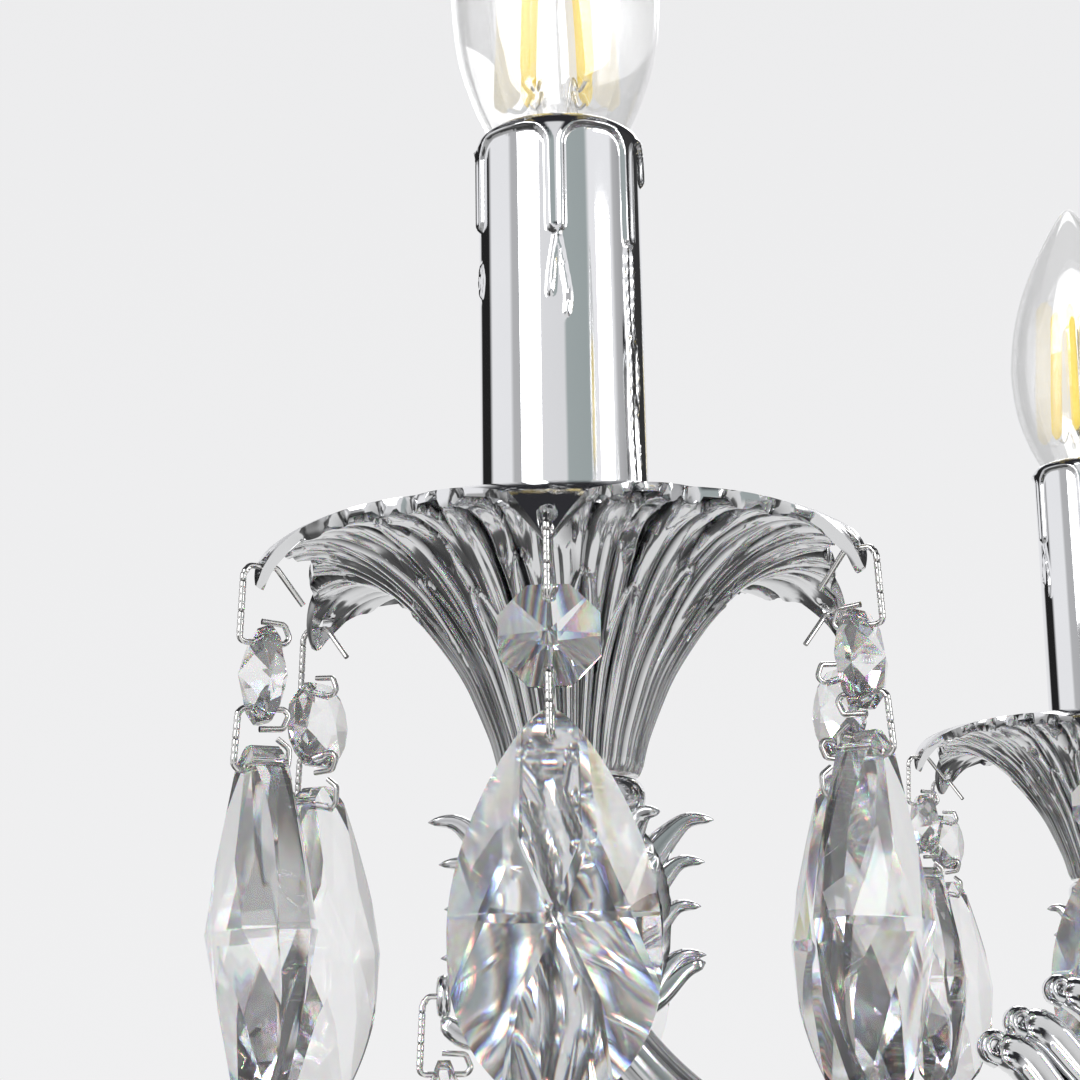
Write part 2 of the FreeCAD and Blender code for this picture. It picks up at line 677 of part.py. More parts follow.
def leaf_cluster():
    """The upright acanthus leaf under the candle, and its curl that ends in a hook lip."""
    reach = dims.leaf_reach
    root = 0.58 * reach
    lobes = ((1.03, -6.9), (0.93, -14.0), (0.95, -20.4), (0.93, -25.8))
    sides = []
    for side in (1.0, -1.0):
        outline = [(0.27 * reach * side, -9.0)]
        for share, level in lobes:
            outline.append((share * reach * side, level))
            outline.append((root * side, level - 3.0))
        sides.append(outline)
    lip = dims.curl_radius
    level = -dims.curl_level
    curl = [(lip - 0.6, level + 5.0), (lip + 1.6, level + 3.0), (lip + 1.2, level - 3.6),
            (lip - 1.2, level - 3.6), (lip - 1.4, level + 1.6), (0.5 * reach, level - 0.5)]
    foot = [(0.1 * reach, level - 12.0), (-0.5 * reach, level - 3.0)]
    return leaf_plate(sides[0] + curl + foot + sides[1][::-1])


def scroll_leaf():
    """The leaf that rises from the arm's middle and rolls over towards the candle."""
    x = -dims.scroll_reach
    z = -dims.scroll_level
    return leaf_plate([(x - 40.0, z - 12.5), (x - 26.0, z - 5.0), (x - 12.0, z), (x, z + 0.6),
                       (x - 1.5, z - 4.0), (x + 7.0, z - 3.4), (x + 4.5, z - 8.0),
                       (x + 11.5, z - 8.6), (x + 8.0, z - 14.0), (x + 1.0, z - 19.5),
                       (x - 8.0, z - 26.0)])


def arm_tube():
    """The arm's stem: down from the candle, through its lowest point and up into the hub."""
    reach = dims.candle_radius - HUB_FLAT
    dip = dims.arm_dip
    entry = dims.arm_entry
    shares = ((0.0, -0.09 * dip), (0.0, -0.36 * dip), (0.011, -0.53 * dip), (0.045, -0.70 * dip),
              (0.108, -0.87 * dip), (0.194, -0.985 * dip), (0.287, -dip), (0.387, -0.92 * dip),
              (0.50, -0.5 * (0.80 * dip + entry)), (0.617, -1.03 * entry), (0.80, -entry))
    middles = [Vector(-share * reach, 0, level) for share, level in shares]
    middles += [Vector(4.0 - reach, 0, -entry), Vector(-reach - dims.hub_depth, 0, -entry)]
    rings = []
    for k, middle in enumerate(middles):
        ahead = middles[min(k + 1, len(middles) - 1)]
        behind = middles[max(k - 1, 0)]
        along = (ahead - behind).normalize()
        across = Vector(-along.z, 0, along.x)
        share = k / (len(middles) - 1.0)
        radius = dims.arm_radius + (dims.arm_belly - dims.arm_radius) * math.sin(math.pi * share)
        if k == 0:
            radius = 0.75 * dims.collar_radius
        if k >= len(middles) - 2:
            radius = dims.spigot_radius
        corners = [2.0 * math.pi * (j + 0.5) / ARM_SIDES for j in range(ARM_SIDES)]
        rings.append([middle + across * (radius * math.sin(corner))
                      + Vector(0, radius * math.cos(corner), 0) for corner in corners])
    return faceted_loft(rings)


def arms():
    """Cast arms: tube, bead ring, acanthus cluster with its hook lip, and scroll leaf."""
    top = -dims.seat_gap
    collar = faceted_loft([polygon(share * dims.collar_radius, top - level * dims.collar_height,
                                   COLLAR_SIDES)
                           for share, level in ((0.86, 0.0), (1.0, 0.5), (0.86, 1.0))])
    arm = arm_tube().fuse([collar, leaf_cluster(), scroll_leaf()])
    bore = faceted_loft([polygon(NIPPLE_HOLE, level, NIPPLE_SIDES)
                         for level in (-dims.nipple_drop - dims.seat_gap, 1.0)])
    hook = moved(square_bar(-3.0, 3.0, dims.hook_half),
                 Vector(dims.curl_radius, 0, -dims.curl_level))
    return on_every_arm("arms", arm.cut([bore, hook]).removeSplitter())


def lip_direction(lip):
    """Compass angle of a lip round its candle, from the arm's outward direction."""
    return dims.lip_heading + 360.0 * lip / LIPS


def lily_ring(radius, level, flute):
    """A plain ring of the lily: a ridge in line with each lip and a flute between two lips."""
    corners = []
    for lip in range(LIPS):
        ridge = math.radians(lip_direction(lip))
        valley = ridge + math.pi / LIPS
        corners += [Vector(radius * math.cos(ridge), radius * math.sin(ridge), level)] * 3
        corners.append(Vector((radius - flute) * math.cos(valley),
                              (radius - flute) * math.sin(valley), level))
    return corners


def lip_ring(radius, level, lip_radius, lip_level):
    """A ring through the lips: at each one its middle stands between two corners of the rim."""
    corners = []
    half = dims.lip_half_angle
    for lip in range(LIPS):
        middle = lip_direction(lip)
        for offset, reach, height in ((-half, radius, level), (0.0, lip_radius, lip_level),
                                      (half, radius, level), (180.0 / LIPS, radius, level)):
            angle = math.radians(middle + offset)
            corners.append(Vector(reach * math.cos(angle), reach * math.sin(angle), height))
    return corners


def bobeches():
    """Cast lilies: a fluted neck that opens into a thin flare with six down-turned lips."""
    rim = dims.bobeche_radius
    rise = dims.bobeche_rise
    wall = dims.bobeche_wall
    flute = dims.flute_depth
    hook = dims.hook_radius
    lip_foot = rise - dims.lip_drop
    rings = [
        lily_ring(dims.foot_radius, 0.0, 0.0),
        lily_ring(0.33 * rim, 0.46 * rise, 0.7 * flute),
        lily_ring(0.56 * rim, 0.87 * rise, flute),
        lip_ring(0.90 * rim, rise + 0.6, hook - 2.2, rise - 2.2),
        lip_ring(rim - 0.8, rise - 0.6, hook - 0.6, lip_foot),
        lip_ring(rim + 0.6, rise + 0.4, hook + 1.4, lip_foot + 0.4),
        lip_ring(0.92 * rim, rise + wall - 0.2, hook + 0.6, rise - 3.0),
        lily_ring(0.72 * rim, rise + wall, 0.2 * flute),
        lily_ring(dims.cup_radius, dims.cup_level, 0.0)]
    lily = faceted_loft(rings)
    tools = [faceted_loft([polygon(NIPPLE_HOLE, level, NIPPLE_SIDES)
                           for level in (-1.0, dims.cup_level + 1.0)])]
    for lip in range(LIPS):
        bar = moved(square_bar(hook - 3.0, hook + 3.0, dims.hook_half),
                    Vector(0, 0, dims.hook_level))
        bar.rotate(Vector(), Vector(0, 0, 1), lip_direction(lip))
        tools.append(bar)
    return on_every_arm("bobeches", lily.cut(tools))


def nipples():
    """Threaded tubes that hold bobeche and lampholder on each arm."""
    levels = (-dims.nipple_drop, dims.nipple_rise)
    rings = [polygon(radius, level, NIPPLE_SIDES) for radius, level in (
        (dims.rod_radius, levels[0]), (dims.rod_radius, levels[1]),
        (dims.rod_bore, levels[1]), (dims.rod_bore, levels[0]))]
    return on_every_arm("nipples", faceted_loft(rings, closed=True))


def lock_nuts():
    """Hexagon nuts that clamp each bobeche on its arm."""
    foot = dims.cup_level + dims.seat_gap
    rings = [polygon(radius, level, NIPPLE_SIDES) for radius, level in (
        (dims.lock_nut_radius, foot), (dims.lock_nut_radius, foot + dims.lock_nut_height),
        (NIPPLE_HOLE, foot + dims.lock_nut_height), (NIPPLE_HOLE, foot))]
    return on_every_arm("lock_nuts", faceted_loft(rings, closed=True))


def lampholders():
    """Screw lampholders on the nipples, hidden in the sleeves."""
    foot = dims.holder_level
    top = foot + dims.holder_length
    floor = top - dims.socket_depth
    socket = (dims.cap_radius + dims.seat_gap) / math.cos(math.pi / NIPPLE_SIDES)
    rings = [polygon(radius, level, NIPPLE_SIDES) for radius, level in (
        (dims.holder_radius, foot), (dims.holder_radius, top), (socket, top), (socket, floor),
        (NIPPLE_HOLE, floor), (NIPPLE_HOLE, foot))]
    return on_every_arm("lampholders", faceted_loft(rings, closed=True))


def candle_sleeves():
    """Candle tubes with a rounded top edge, standing in the bobeches' cups."""
    foot = dims.cup_level + dims.seat_gap
    top = foot + dims.sleeve_length
    radius = dims.sleeve_radius
    shoulder = radius - dims.sleeve_taper
    bore = radius - dims.sleeve_wall
    rings = [polygon(reach, level, ROUND_SIDES) for reach, level in (
        (radius, foot), (shoulder, top - 2.4), (bore, top), (bore, foot))]
    return on_every_arm("candle_sleeves", faceted_loft(rings, closed=True))


def bulbs():
    """Clear candle bulbs: screw cap and flame-shaped glass."""
    foot = dims.holder_level + dims.holder_length - dims.cap_length
    glass = foot + dims.cap_length
    radius = dims.bulb_radius
    profile = ((0.10, 0.64), (0.20, 0.88), (0.39, 1.0), (0.68, 0.78), (1.0, 0.10))
    rings = [polygon(dims.cap_radius, foot, BULB_SIDES),
             polygon(dims.cap_radius, glass + dims.seat_gap, BULB_SIDES)]
    rings += [polygon(share * radius, glass + height * dims.bulb_length, BULB_SIDES)
              for height, share in profile]
    return on_every_arm("bulbs", faceted_loft(rings))


# ---------------------------------------------------------------- crystal pendants

def drilled(level, apex):
    """A three-sided hole along X for the wire, its apex up (1) or down (-1)."""
    corner = dims.wire_radius + 2.0 * dims.seat_gap
    across = corner * math.sin(math.pi / 3)
    start = -0.5 * dims.drop_width
    face = flat_face([Vector(start, 0, level + apex * corner),
                      Vector(start, -across, level - 0.5 * apex * corner),
                      Vector(start, across, level - 0.5 * apex * corner)])
    return face.extrude(Vector(dims.drop_width, 0, 0))


def octagon_bead():
    """Eight-sided bead, pointed on both faces, drilled near its top and bottom edges."""
    corner = 0.5 * dims.bead_size / math.cos(math.pi / 8)
    rim = [Vector(0, corner * math.cos(math.pi * (k + 0.5) / 4),
                  corner * math.sin(math.pi * (k + 0.5) / 4)) for k in range(8)]
    faces = []
    for tip in (Vector(0.5 * dims.bead_thick, 0, 0), Vector(-0.5 * dims.bead_thick, 0, 0)):
        for k in range(8):
            faces.append(flat_face([rim[k], rim[(k + 1) % 8], tip]))
    return solid_of(faces).cut([drilled(dims.bead_hole_offset, -1.0),
                                drilled(-dims.bead_hole_offset, 1.0)])


def almond_drop():
    """Almond crystal with a kite-shaped middle facet, drilled under its blunt top."""
    width = 0.5 * dims.drop_width
    length = dims.drop_length
    depth = 0.5 * dims.drop_thick
    half = ((0.0, 0.22), (0.23, 0.70), (0.50, 1.0), (0.78, 0.76))
    rim = [Vector(0, share * width, -down * length) for down, share in half]
    rim.append(Vector(0, 0, -length))
    rim += [Vector(0, -share * width, -down * length) for down, share in half[::-1]]
    faces = []
    for side in (-depth, depth):
        top = Vector(side, 0, -0.17 * length)
        left = Vector(side, 0.36 * width, -0.5 * length)
        right = Vector(side, -0.36 * width, -0.5 * length)
        foot = Vector(side, 0, -0.86 * length)
        inner = (top, left, left, foot, foot, foot, right, right, top)
        for k in range(len(rim)):
            after = (k + 1) % len(rim)
            faces.append(flat_face([rim[k], rim[after], inner[k]]))
            if inner[after] != inner[k]:
                faces.append(flat_face([rim[after], inner[after], inner[k]]))
        faces.append(flat_face([top, left, foot, right]))
    return solid_of(faces).cut(drilled(-dims.drop_hole_offset, -1.0))


def pendant_shape():
    """Wire hook, octagon bead, wire link and almond drop, hanging from the hook hole."""
    bead_top = -dims.bead_drop + dims.bead_hole_offset
    bead_foot = -dims.bead_drop - dims.bead_hole_offset
    drop_hole = -dims.drop_top - dims.drop_hole_offset
    out = 0.5 * dims.bead_thick
    hook = bent_wire([Vector(-6.4, 0, -5.6), Vector(-2.0, 0, 0), Vector(2.1, 0, 0),
                      Vector(out, 0, bead_top), Vector(-out - 0.4, 0, bead_top),
                      Vector(-out - 0.2, 0, bead_top + 3.6)])
    link = bent_wire([Vector(-out + 0.2, 0, bead_foot - 3.6), Vector(-out - 0.4, 0, bead_foot),
                      Vector(out, 0, bead_foot), Vector(out + 0.6, 0, drop_hole),
                      Vector(-out, 0, drop_hole), Vector(-out - 0.6, 0, drop_hole + 3.6)])
    return Part.Compound([hook, moved(octagon_bead(), Vector(0, 0, -dims.bead_drop)), link,
                          moved(almond_drop(), Vector(0, 0, -dims.drop_top))])


def pendant_places(number):
    """Hook places of one arm: six lips of the bobeche and the arm's leaf curl."""
    base = arm_place(number)
    places = []
    for lip in range(LIPS):
        turned = Rotation(Vector(0, 0, 1), lip_direction(lip))
        out = turned.multVec(Vector(dims.hook_radius, 0, dims.hook_level))
        places.append(base.multiply(Placement(out, turned)))
    curl = Vector(dims.curl_radius, 0, -dims.curl_level)
    places.append(base.multiply(Placement(curl, Rotation())))
    return places


def pendants():
    shape = pendant_shape()
    for number in range(ARM_COUNT):
        for k, place in enumerate(pendant_places(number)):
            name = "pendant_%d_%s" % (number + 1, "curl" if k == LIPS else "lip_%d" % (k + 1))
            feature(name, shape, place)


# ---------------------------------------------------------------- build, test and write

ceiling_bracket()
canopy()
canopy_nuts()
canopy_ring()
for link_number in range(CHAIN_LINKS):
    chain_link(link_number)
top_ring()
centre_tube()
leaf_crown()
upper_baluster()
centre_column()
arm_hub()
lower_bowl()
finial()
crystal_ball()
arms()
bobeches()
nipples()
lock_nuts()
lampholders()
candle_sleeves()
bulbs()
pendants()

doc.recompute()
for item in doc.Objects:
    if "Invalid" in item.State or "Error" in item.State:
        raise ValueError("%s did not recompute: %s" % (item.Name, item.State))
os.makedirs("parts", exist_ok=True)
for item in pieces:
    if item.Shape.isNull() or not item.Shape.isValid():
        raise ValueError("%s has no valid shape" % item.Label)
    item.Shape.exportStep("parts/%s.step" % item.Label)
print("%d pieces written" % len(pieces))
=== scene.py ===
"""Looks of a crystal chandelier: chrome castings, candle bulbs and cut-crystal pendants.

Shapes are worked out in millimetres in the place where they are easiest to state (a candle's
axis, a pendant's hook hole, the centre column) and are then carried into the model's frame.
"""

import logging
import math
from dataclasses import dataclass
from enum import Enum
from typing import Callable, Optional, Sequence, Union

import bmesh
import bpy
import numpy as np
from mathutils import Matrix, Vector


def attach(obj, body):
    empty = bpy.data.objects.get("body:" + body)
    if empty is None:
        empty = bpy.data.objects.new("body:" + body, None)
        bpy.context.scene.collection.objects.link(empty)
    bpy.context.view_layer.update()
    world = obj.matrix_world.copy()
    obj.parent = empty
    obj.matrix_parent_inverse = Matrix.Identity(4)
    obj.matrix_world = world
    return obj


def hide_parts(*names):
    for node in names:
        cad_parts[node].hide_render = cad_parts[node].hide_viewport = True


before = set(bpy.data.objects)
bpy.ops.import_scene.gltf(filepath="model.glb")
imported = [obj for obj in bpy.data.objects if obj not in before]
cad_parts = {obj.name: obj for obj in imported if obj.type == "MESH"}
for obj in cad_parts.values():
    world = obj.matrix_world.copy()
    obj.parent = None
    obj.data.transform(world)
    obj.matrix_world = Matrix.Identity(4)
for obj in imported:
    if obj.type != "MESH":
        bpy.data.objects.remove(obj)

LOG = logging.getLogger("chandelier")
METRE = 0.001
ARMS = 5
LIPS = 6
HEADING = 184.0
CANDLE_RADIUS = 221.0
BOBECHE_LEVEL = -350.0
LIP_HEADING = 22.5
HOOK_RADIUS = 50.6
HOOK_LEVEL = 29.6
CURL_RADIUS = 20.0
CURL_LEVEL = -33.0
HOOK_HOLE_LEVEL = HOOK_LEVEL + 0.85
TUBE_BORE = 5.6
FINIAL_EYE_LEVEL = -463.0
LINE_STEPS = 40
RIB_PITCH = 1.15
RIB_DEPTH = 0.30
DRILL_SIDES = 24
TINY = 1e-9

Number = Union[float, "Signal"]


def linked(name: str, data: bpy.types.ID) -> bpy.types.Object:
    """A new object of some data, put into the scene."""
    made = bpy.data.objects.new(name, data)
    bpy.context.scene.collection.objects.link(made)
    return made


# ------------------------------------------------------------------ shapes as arrays

def turns(count: int) -> np.ndarray:
    """Angles in even steps over one turn, the end left out."""
    return np.linspace(0.0, 2.0 * np.pi, count, endpoint=False)


def directions(line: np.ndarray) -> np.ndarray:
    """Unit directions along a line of points."""
    slope = np.gradient(line, axis=0)
    return slope / np.maximum(np.linalg.norm(slope, axis=1, keepdims=True), TINY)


def normals_of(profile: np.ndarray) -> np.ndarray:
    """Unit directions square to a plane line of points, a quarter turn clockwise."""
    way = directions(profile)
    return np.stack([way[:, 1], -way[:, 0]], -1)


@dataclass
class Shape:
    """A surface as arrays: points in mm, four- and three-cornered faces, shade per point."""

    points: np.ndarray
    quads: np.ndarray
    triangles: np.ndarray
    shade: np.ndarray

    def outward(self) -> "Shape":
        """Turns all faces round where the enclosed volume comes out negative."""
        corners = np.vstack([self.quads[:, [0, 1, 2]], self.quads[:, [0, 2, 3]], self.triangles])
        a, b, c = (self.points[corners[:, k]] for k in range(3))
        if np.einsum("ij,ij->i", a, np.cross(b, c)).sum() < 0.0:
            self.quads = self.quads[:, ::-1]
            self.triangles = self.triangles[:, ::-1]
        return self

    def carried(self, place: Matrix) -> "Shape":
        """A copy moved and turned by a matrix in mm."""
        table = np.array(place)
        points = self.points @ table[:3, :3].T + table[:3, 3]
        return Shape(points, self.quads, self.triangles, self.shade)

    def scaled(self, x: float, y: float, z: float) -> "Shape":
        """A copy stretched along the axes by positive factors."""
        return Shape(self.points * np.array([x, y, z]), self.quads, self.triangles, self.shade)


def joined(shapes: Sequence[Shape]) -> Shape:
    """Several shapes as one, with the later ones' corner numbers moved on.

    Args:
        shapes: the shapes, each closed in itself.

    Returns:
        One shape that holds them all.
    """
    starts = np.cumsum([0] + [len(shape.points) for shape in shapes[:-1]])
    return Shape(np.vstack([shape.points for shape in shapes]),
                 np.vstack([shape.quads + start for shape, start in zip(shapes, starts)]),
                 np.vstack([shape.triangles + start for shape, start in zip(shapes, starts)]),
                 np.concatenate([shape.shade for shape in shapes]))


def grid(points: np.ndarray, ring: bool = True, loop: bool = False, capped: bool = False,
         shade: Optional[np.ndarray] = None) -> Shape:
    """A surface over a table of points: rows are joined to rows and columns to columns.

    Args:
        points: array of rows x columns x 3.
        ring: whether the last column joins the first.
        loop: whether the last row joins the first.
        capped: whether the first and last rows are closed by fans about their middles.
        shade: hollow shade per point, rows x columns, 0 on the surface to 1 in a deep groove.

    Returns:
        The surface, with its faces outwards where it is closed.
    """
    rows, columns = points.shape[:2]
    index = np.arange(rows * columns).reshape(rows, columns)
    wide = np.hstack([index, index[:, :1]]) if ring else index
    tall = np.vstack([wide, wide[:1]]) if loop else wide
    quads = np.stack([tall[:-1, :-1], tall[:-1, 1:], tall[1:, 1:], tall[1:, :-1]], -1)
    flat = points.reshape(-1, 3)
    shades = np.zeros(len(flat)) if shade is None else shade.reshape(-1)
    triangles = np.zeros((0, 3), int)
    if capped:
        first, last = len(flat), len(flat) + 1
        flat = np.vstack([flat, points[0].mean(0), points[-1].mean(0)])
        shades = np.append(shades, [shades[0], shades[-1]])
        start, end = wide[0], wide[-1]
        triangles = np.vstack([
            np.stack([start[1:], start[:-1], np.full(len(start) - 1, first)], -1),
            np.stack([end[:-1], end[1:], np.full(len(end) - 1, last)], -1)])
    return Shape(flat, quads.reshape(-1, 4), triangles, shades).outward()


def smooth_line(knots: Sequence[Sequence[float]], count: int) -> np.ndarray:
    """A smooth line through knots: Catmull-Rom cubics, then even steps along its length.

    Args:
        knots: points the line passes through.
        count: number of points on the line.

    Returns:
        Array of count x dimensions.
    """
    table = np.asarray(knots, float)
    padded = np.vstack([2 * table[0] - table[1], table, 2 * table[-1] - table[-2]])
    t = np.linspace(0.0, len(table) - 1.0, LINE_STEPS * len(table))
    k = np.minimum(t.astype(int), len(table) - 2)
    u = (t - k)[:, None]
    p0, p1, p2, p3 = (padded[k + j] for j in range(4))
    dense = 0.5 * (2 * p1 + (p2 - p0) * u + (2 * p0 - 5 * p1 + 4 * p2 - p3) * u ** 2
                   + (3 * p1 - p0 - 3 * p2 + p3) * u ** 3)
    return even_steps(dense, count)


def even_steps(line: np.ndarray, count: int) -> np.ndarray:
    """Points at equal distances along a line of straight pieces."""
    along = np.concatenate([[0.0], np.cumsum(np.linalg.norm(np.diff(line, axis=0), axis=1))])
    wanted = np.linspace(0.0, along[-1], count)
    return np.stack([np.interp(wanted, along, line[:, k]) for k in range(line.shape[1])], -1)


def turned(profile: np.ndarray, columns: int, loop: bool = False,
           relief: Optional[Callable[[np.ndarray, np.ndarray], np.ndarray]] = None) -> Shape:
    """A profile of (radius, level) turned about Z, moved along its normal by a relief.

    Args:
        profile: array of rows x 2.
        columns: steps round the axis.
        loop: whether the profile is closed on itself.
        relief: distance in mm from the angles (1 x columns) and the row share (rows x 1).

    Returns:
        The surface; it is capped where the profile is open.
    """
    angle = turns(columns)[None, :]
    share = np.linspace(0.0, 1.0, len(profile))[:, None]
    normal = normals_of(profile)
    lift = relief(angle, share) if relief else np.zeros((len(profile), columns))
    radius = profile[:, :1] + normal[:, :1] * lift
    level = profile[:, 1:] + normal[:, 1:] * lift
    points = np.stack([radius * np.cos(angle), radius * np.sin(angle), level + 0 * angle], -1)
    # Painted shade: darker where the relief sinks, darkest at the deepest hollow.
    depth = np.clip(-lift / max(1e-6, float(np.abs(lift).max())), 0.0, 1.0)
    return grid(points, loop=loop, capped=not loop, shade=depth)


def tube(path: np.ndarray, radii: np.ndarray, sides: int = 12, across: float = 1.0,
         groove: float = 0.0, lobes: int = 0) -> Shape:
    """A round bar along a path in the XZ plane, its ends closed.

    The section at each station stands square to the path: radius times cosine along the
    in-plane normal and radius times sine, times across, along Y. A groove pulls the middle
    of both flat sides in, and lobes flute it lengthwise.

    Args:
        path: array of stations x 2, (x, z).
        radii: radius at each station.
        sides: corners of the section.
        across: stretch of the section along Y.
        groove: share of the thickness taken out along the middle of the flat sides.
        lobes: number of lengthwise flutes, or none.

    Returns:
        The closed bar.
    """
    way = directions(path)
    turn = turns(sides)[None, :]
    flute = 0.5 - 0.5 * np.cos(lobes * turn)
    reach = radii[:, None] * (1.0 - 0.10 * flute)
    normal = reach * np.cos(turn)
    hollow = 1.0 - groove * np.exp(-(np.cos(turn) / 0.42) ** 2)
    side = reach * np.sin(turn) * across * hollow
    points = np.stack([path[:, :1] - way[:, 1:] * normal, side,
                       path[:, 1:] + way[:, :1] * normal], -1)
    # Painted shade: darker along the middle of the grooved sides and in the flutes, kept per point
    # for the finishes.
    shade = groove * 1.6 * np.exp(-(np.cos(turn) / 0.34) ** 2) + 0.6 * flute
    shade = np.broadcast_to(np.clip(shade, 0.0, 1.0), normal.shape)
    return grid(points, capped=True, shade=shade)


def bar(knots: Sequence[Sequence[float]], thick: float, tip: float, stations: int = 22,
        **section: float) -> Shape:
    """A bar that narrows from its thick start to a rounded tip along a smooth line."""
    path = smooth_line(knots, stations)
    share = np.linspace(0.0, 1.0, stations)
    radii = thick + (tip - thick) * share ** 0.9
    radii = radii * np.sqrt(np.clip(1.0 - ((share - 0.9) / 0.1).clip(0.0, 1.0) ** 2, 0.02, 1.0))
    return tube(path, radii, **section)


def wire_link(knots: Sequence[Sequence[float]], radius: float, ribbed: Sequence[float],
              step: float = 0.2) -> Shape:
    """A pendant's wire through knots in the XZ plane, its ribs pressed into part of its length.

    Args:
        knots: corners of the wire, slightly rounded by the smoothing.
        radius: wire radius.
        ribbed: lowest and highest level between which the outer leg has ribs.
        step: distance between stations.

    Returns:
        The closed wire.
    """
    corners = np.asarray(knots, float)
    length = np.linalg.norm(np.diff(corners, axis=0), axis=1).sum()
    path = even_steps(corners, int(length / step))
    soft = np.ones(5) / 5.0
    body = np.stack([np.convolve(np.pad(path[:, k], 2, mode="edge"), soft, "valid")
                     for k in range(2)], -1)
    along = np.arange(len(body)) * step
    low, high = ribbed
    outer = ((body[:, 1] > low) & (body[:, 1] < high) & (body[:, 0] > 0.5)).astype(float)
    beat = 3.0 * np.abs(np.sin(np.pi * along / RIB_PITCH)) - 0.7
    ribs = RIB_DEPTH * np.clip(beat, -0.6, 0.4) * outer
    sides = 8
    made = tube(body, radius * (1.0 + ribs), sides=sides)
    # Painted shade: darker in the hollows between the ribs.
    made.shade = np.append(np.repeat(np.clip(-6.0 * ribs, 0.0, 1.0), sides), [0.0, 0.0])
    return made


def hull(points: np.ndarray) -> np.ndarray:
    """Triangles of the convex hull of some points, as corner numbers."""
    shell = bmesh.new()
    corners = [shell.verts.new(point) for point in points]
    shell.verts.index_update()
    bmesh.ops.convex_hull(shell, input=corners)
    bmesh.ops.triangulate(shell, faces=shell.faces)
    found = np.array([[corner.index for corner in face.verts] for face in shell.faces])
    shell.free()
    return found


def cut_stone(normals: np.ndarray, reaches: np.ndarray) -> Shape:
    """A convex stone whose facets are planes, each at a distance from the middle.

    Each plane is turned into its dual, the point normal / distance. The hull of those points
    has one triangle for each corner of the stone, and that corner is where the triangle's
    three planes meet.

    Args:
        normals: facets x 3, each facet's outward direction.
        reaches: distance of each facet from the origin.

    Returns:
        The closed stone in flat triangles.
    """
    duals = normals / reaches[:, None]
    corners = np.linalg.solve(duals[hull(duals)], np.ones((1, 3, 1)))[:, :, 0]
    corners = np.unique(np.round(corners, 3), axis=0)
    return Shape(corners, np.zeros((0, 4), int), hull(corners), np.zeros(len(corners))).outward()


def with_holes(shape: Shape, bars: Shape) -> Shape:
    """A shape with some bars taken out of it, in triangles."""
    made = [linked(name, bpy.data.meshes.new(name)) for name in ("blank", "drill")]
    for item, source in zip(made, (shape, bars)):
        item.data.from_pydata(source.points.tolist(), [],
                              source.quads.tolist() + source.triangles.tolist())
    # The painted shade rides through the cut as the groove attribute.
    shade = made[0].data.attributes.new("groove", "FLOAT", "POINT")
    shade.data.foreach_set("value", shape.shade.astype(np.float32))
    cutter = made[0].modifiers.new("holes", "BOOLEAN")
    cutter.operation = "DIFFERENCE"
    cutter.solver = "EXACT"
    cutter.object = made[1]
    bpy.context.view_layer.update()
    mesh = bpy.data.meshes.new_from_object(
        made[0].evaluated_get(bpy.context.evaluated_depsgraph_get()))
    mesh.calc_loop_triangles()
    points = np.empty(3 * len(mesh.vertices))
    mesh.vertices.foreach_get("co", points)
    triangles = np.empty(3 * len(mesh.loop_triangles), int)
    mesh.loop_triangles.foreach_get("vertices", triangles)
    shades = np.empty(len(mesh.vertices))
    mesh.attributes["groove"].data.foreach_get("value", shades)
    for item in made:
        bpy.data.objects.remove(item)
    return Shape(points.reshape(-1, 3), np.zeros((0, 4), int), triangles.reshape(-1, 3), shades)


def round_bar(reach: float, radius: float, level: float, middle: float = 0.0,
              flare: float = 1.0) -> Shape:
    """A round bar along X for drilling; its outer end is wider by the flare."""
    turn = turns(DRILL_SIDES)
    ends = [np.stack([0.0 * turn + x, wide * np.cos(turn), level + wide * np.sin(turn)], -1)
            for x, wide in ((middle - reach, radius), (middle + reach, radius * flare))]
    return grid(np.array(ends), capped=True)


def hoop(middle: float, width: float, length: float, wire: float, sides: int = 16,
         steps: int = 72) -> Shape:
    """A chain link, ring or eye: round wire along a stadium in the XZ plane.

    Args:
        middle: level of the middle.
        width: distance between the straight sides' wire middles.
        length: height between the bends' wire middles.
        wire: the wire's radius.
        sides: corners of the wire's section.
        steps: stations round the hoop.

    Returns:
        The closed ring.
    """
    turn = turns(steps)[:, None]
    lap = turns(sides)[None, :]
    reach = 0.5 * width + wire * np.cos(lap)
    straight = np.sign(np.sin(turn)) * 0.5 * (length - width)
    points = np.stack([reach * np.cos(turn), wire * np.sin(lap) + 0.0 * turn,
                       middle + reach * np.sin(turn) + straight], -1)
    return grid(points, loop=True)


def about_z(degrees: float) -> Matrix:
    """A turn about Z."""
    return Matrix.Rotation(math.radians(degrees), 4, "Z")


def smoothed(field: np.ndarray, rows: int, columns: int) -> np.ndarray:
    """The mean of a field over a window, wrapped round in its columns."""
    for shift, axis, mode in ((columns, 1, "wrap"), (rows, 0, "edge")):
        pad = [(0, 0), (0, 0)]
        pad[axis] = (shift + 1, shift)
        total = np.cumsum(np.pad(field, pad, mode=mode), axis=axis)
        width = 2 * shift + 1
        upper = np.take(total, range(width, total.shape[axis]), axis=axis)
        lower = np.take(total, range(0, total.shape[axis] - width), axis=axis)
        field = (upper - lower) / width
    return field


def distance_to(line: np.ndarray, x: np.ndarray, y: np.ndarray) -> np.ndarray:
    """Least distance from each (x, y) to the points of a line, row by row."""
    return np.array([np.sqrt(((row_x[:, None] - line[None, :, 0]) ** 2
                              + (row_y[:, None] - line[None, :, 1]) ** 2).min(1))
                     for row_x, row_y in zip(x, y)])


# ------------------------------------------------------------------ shader maths

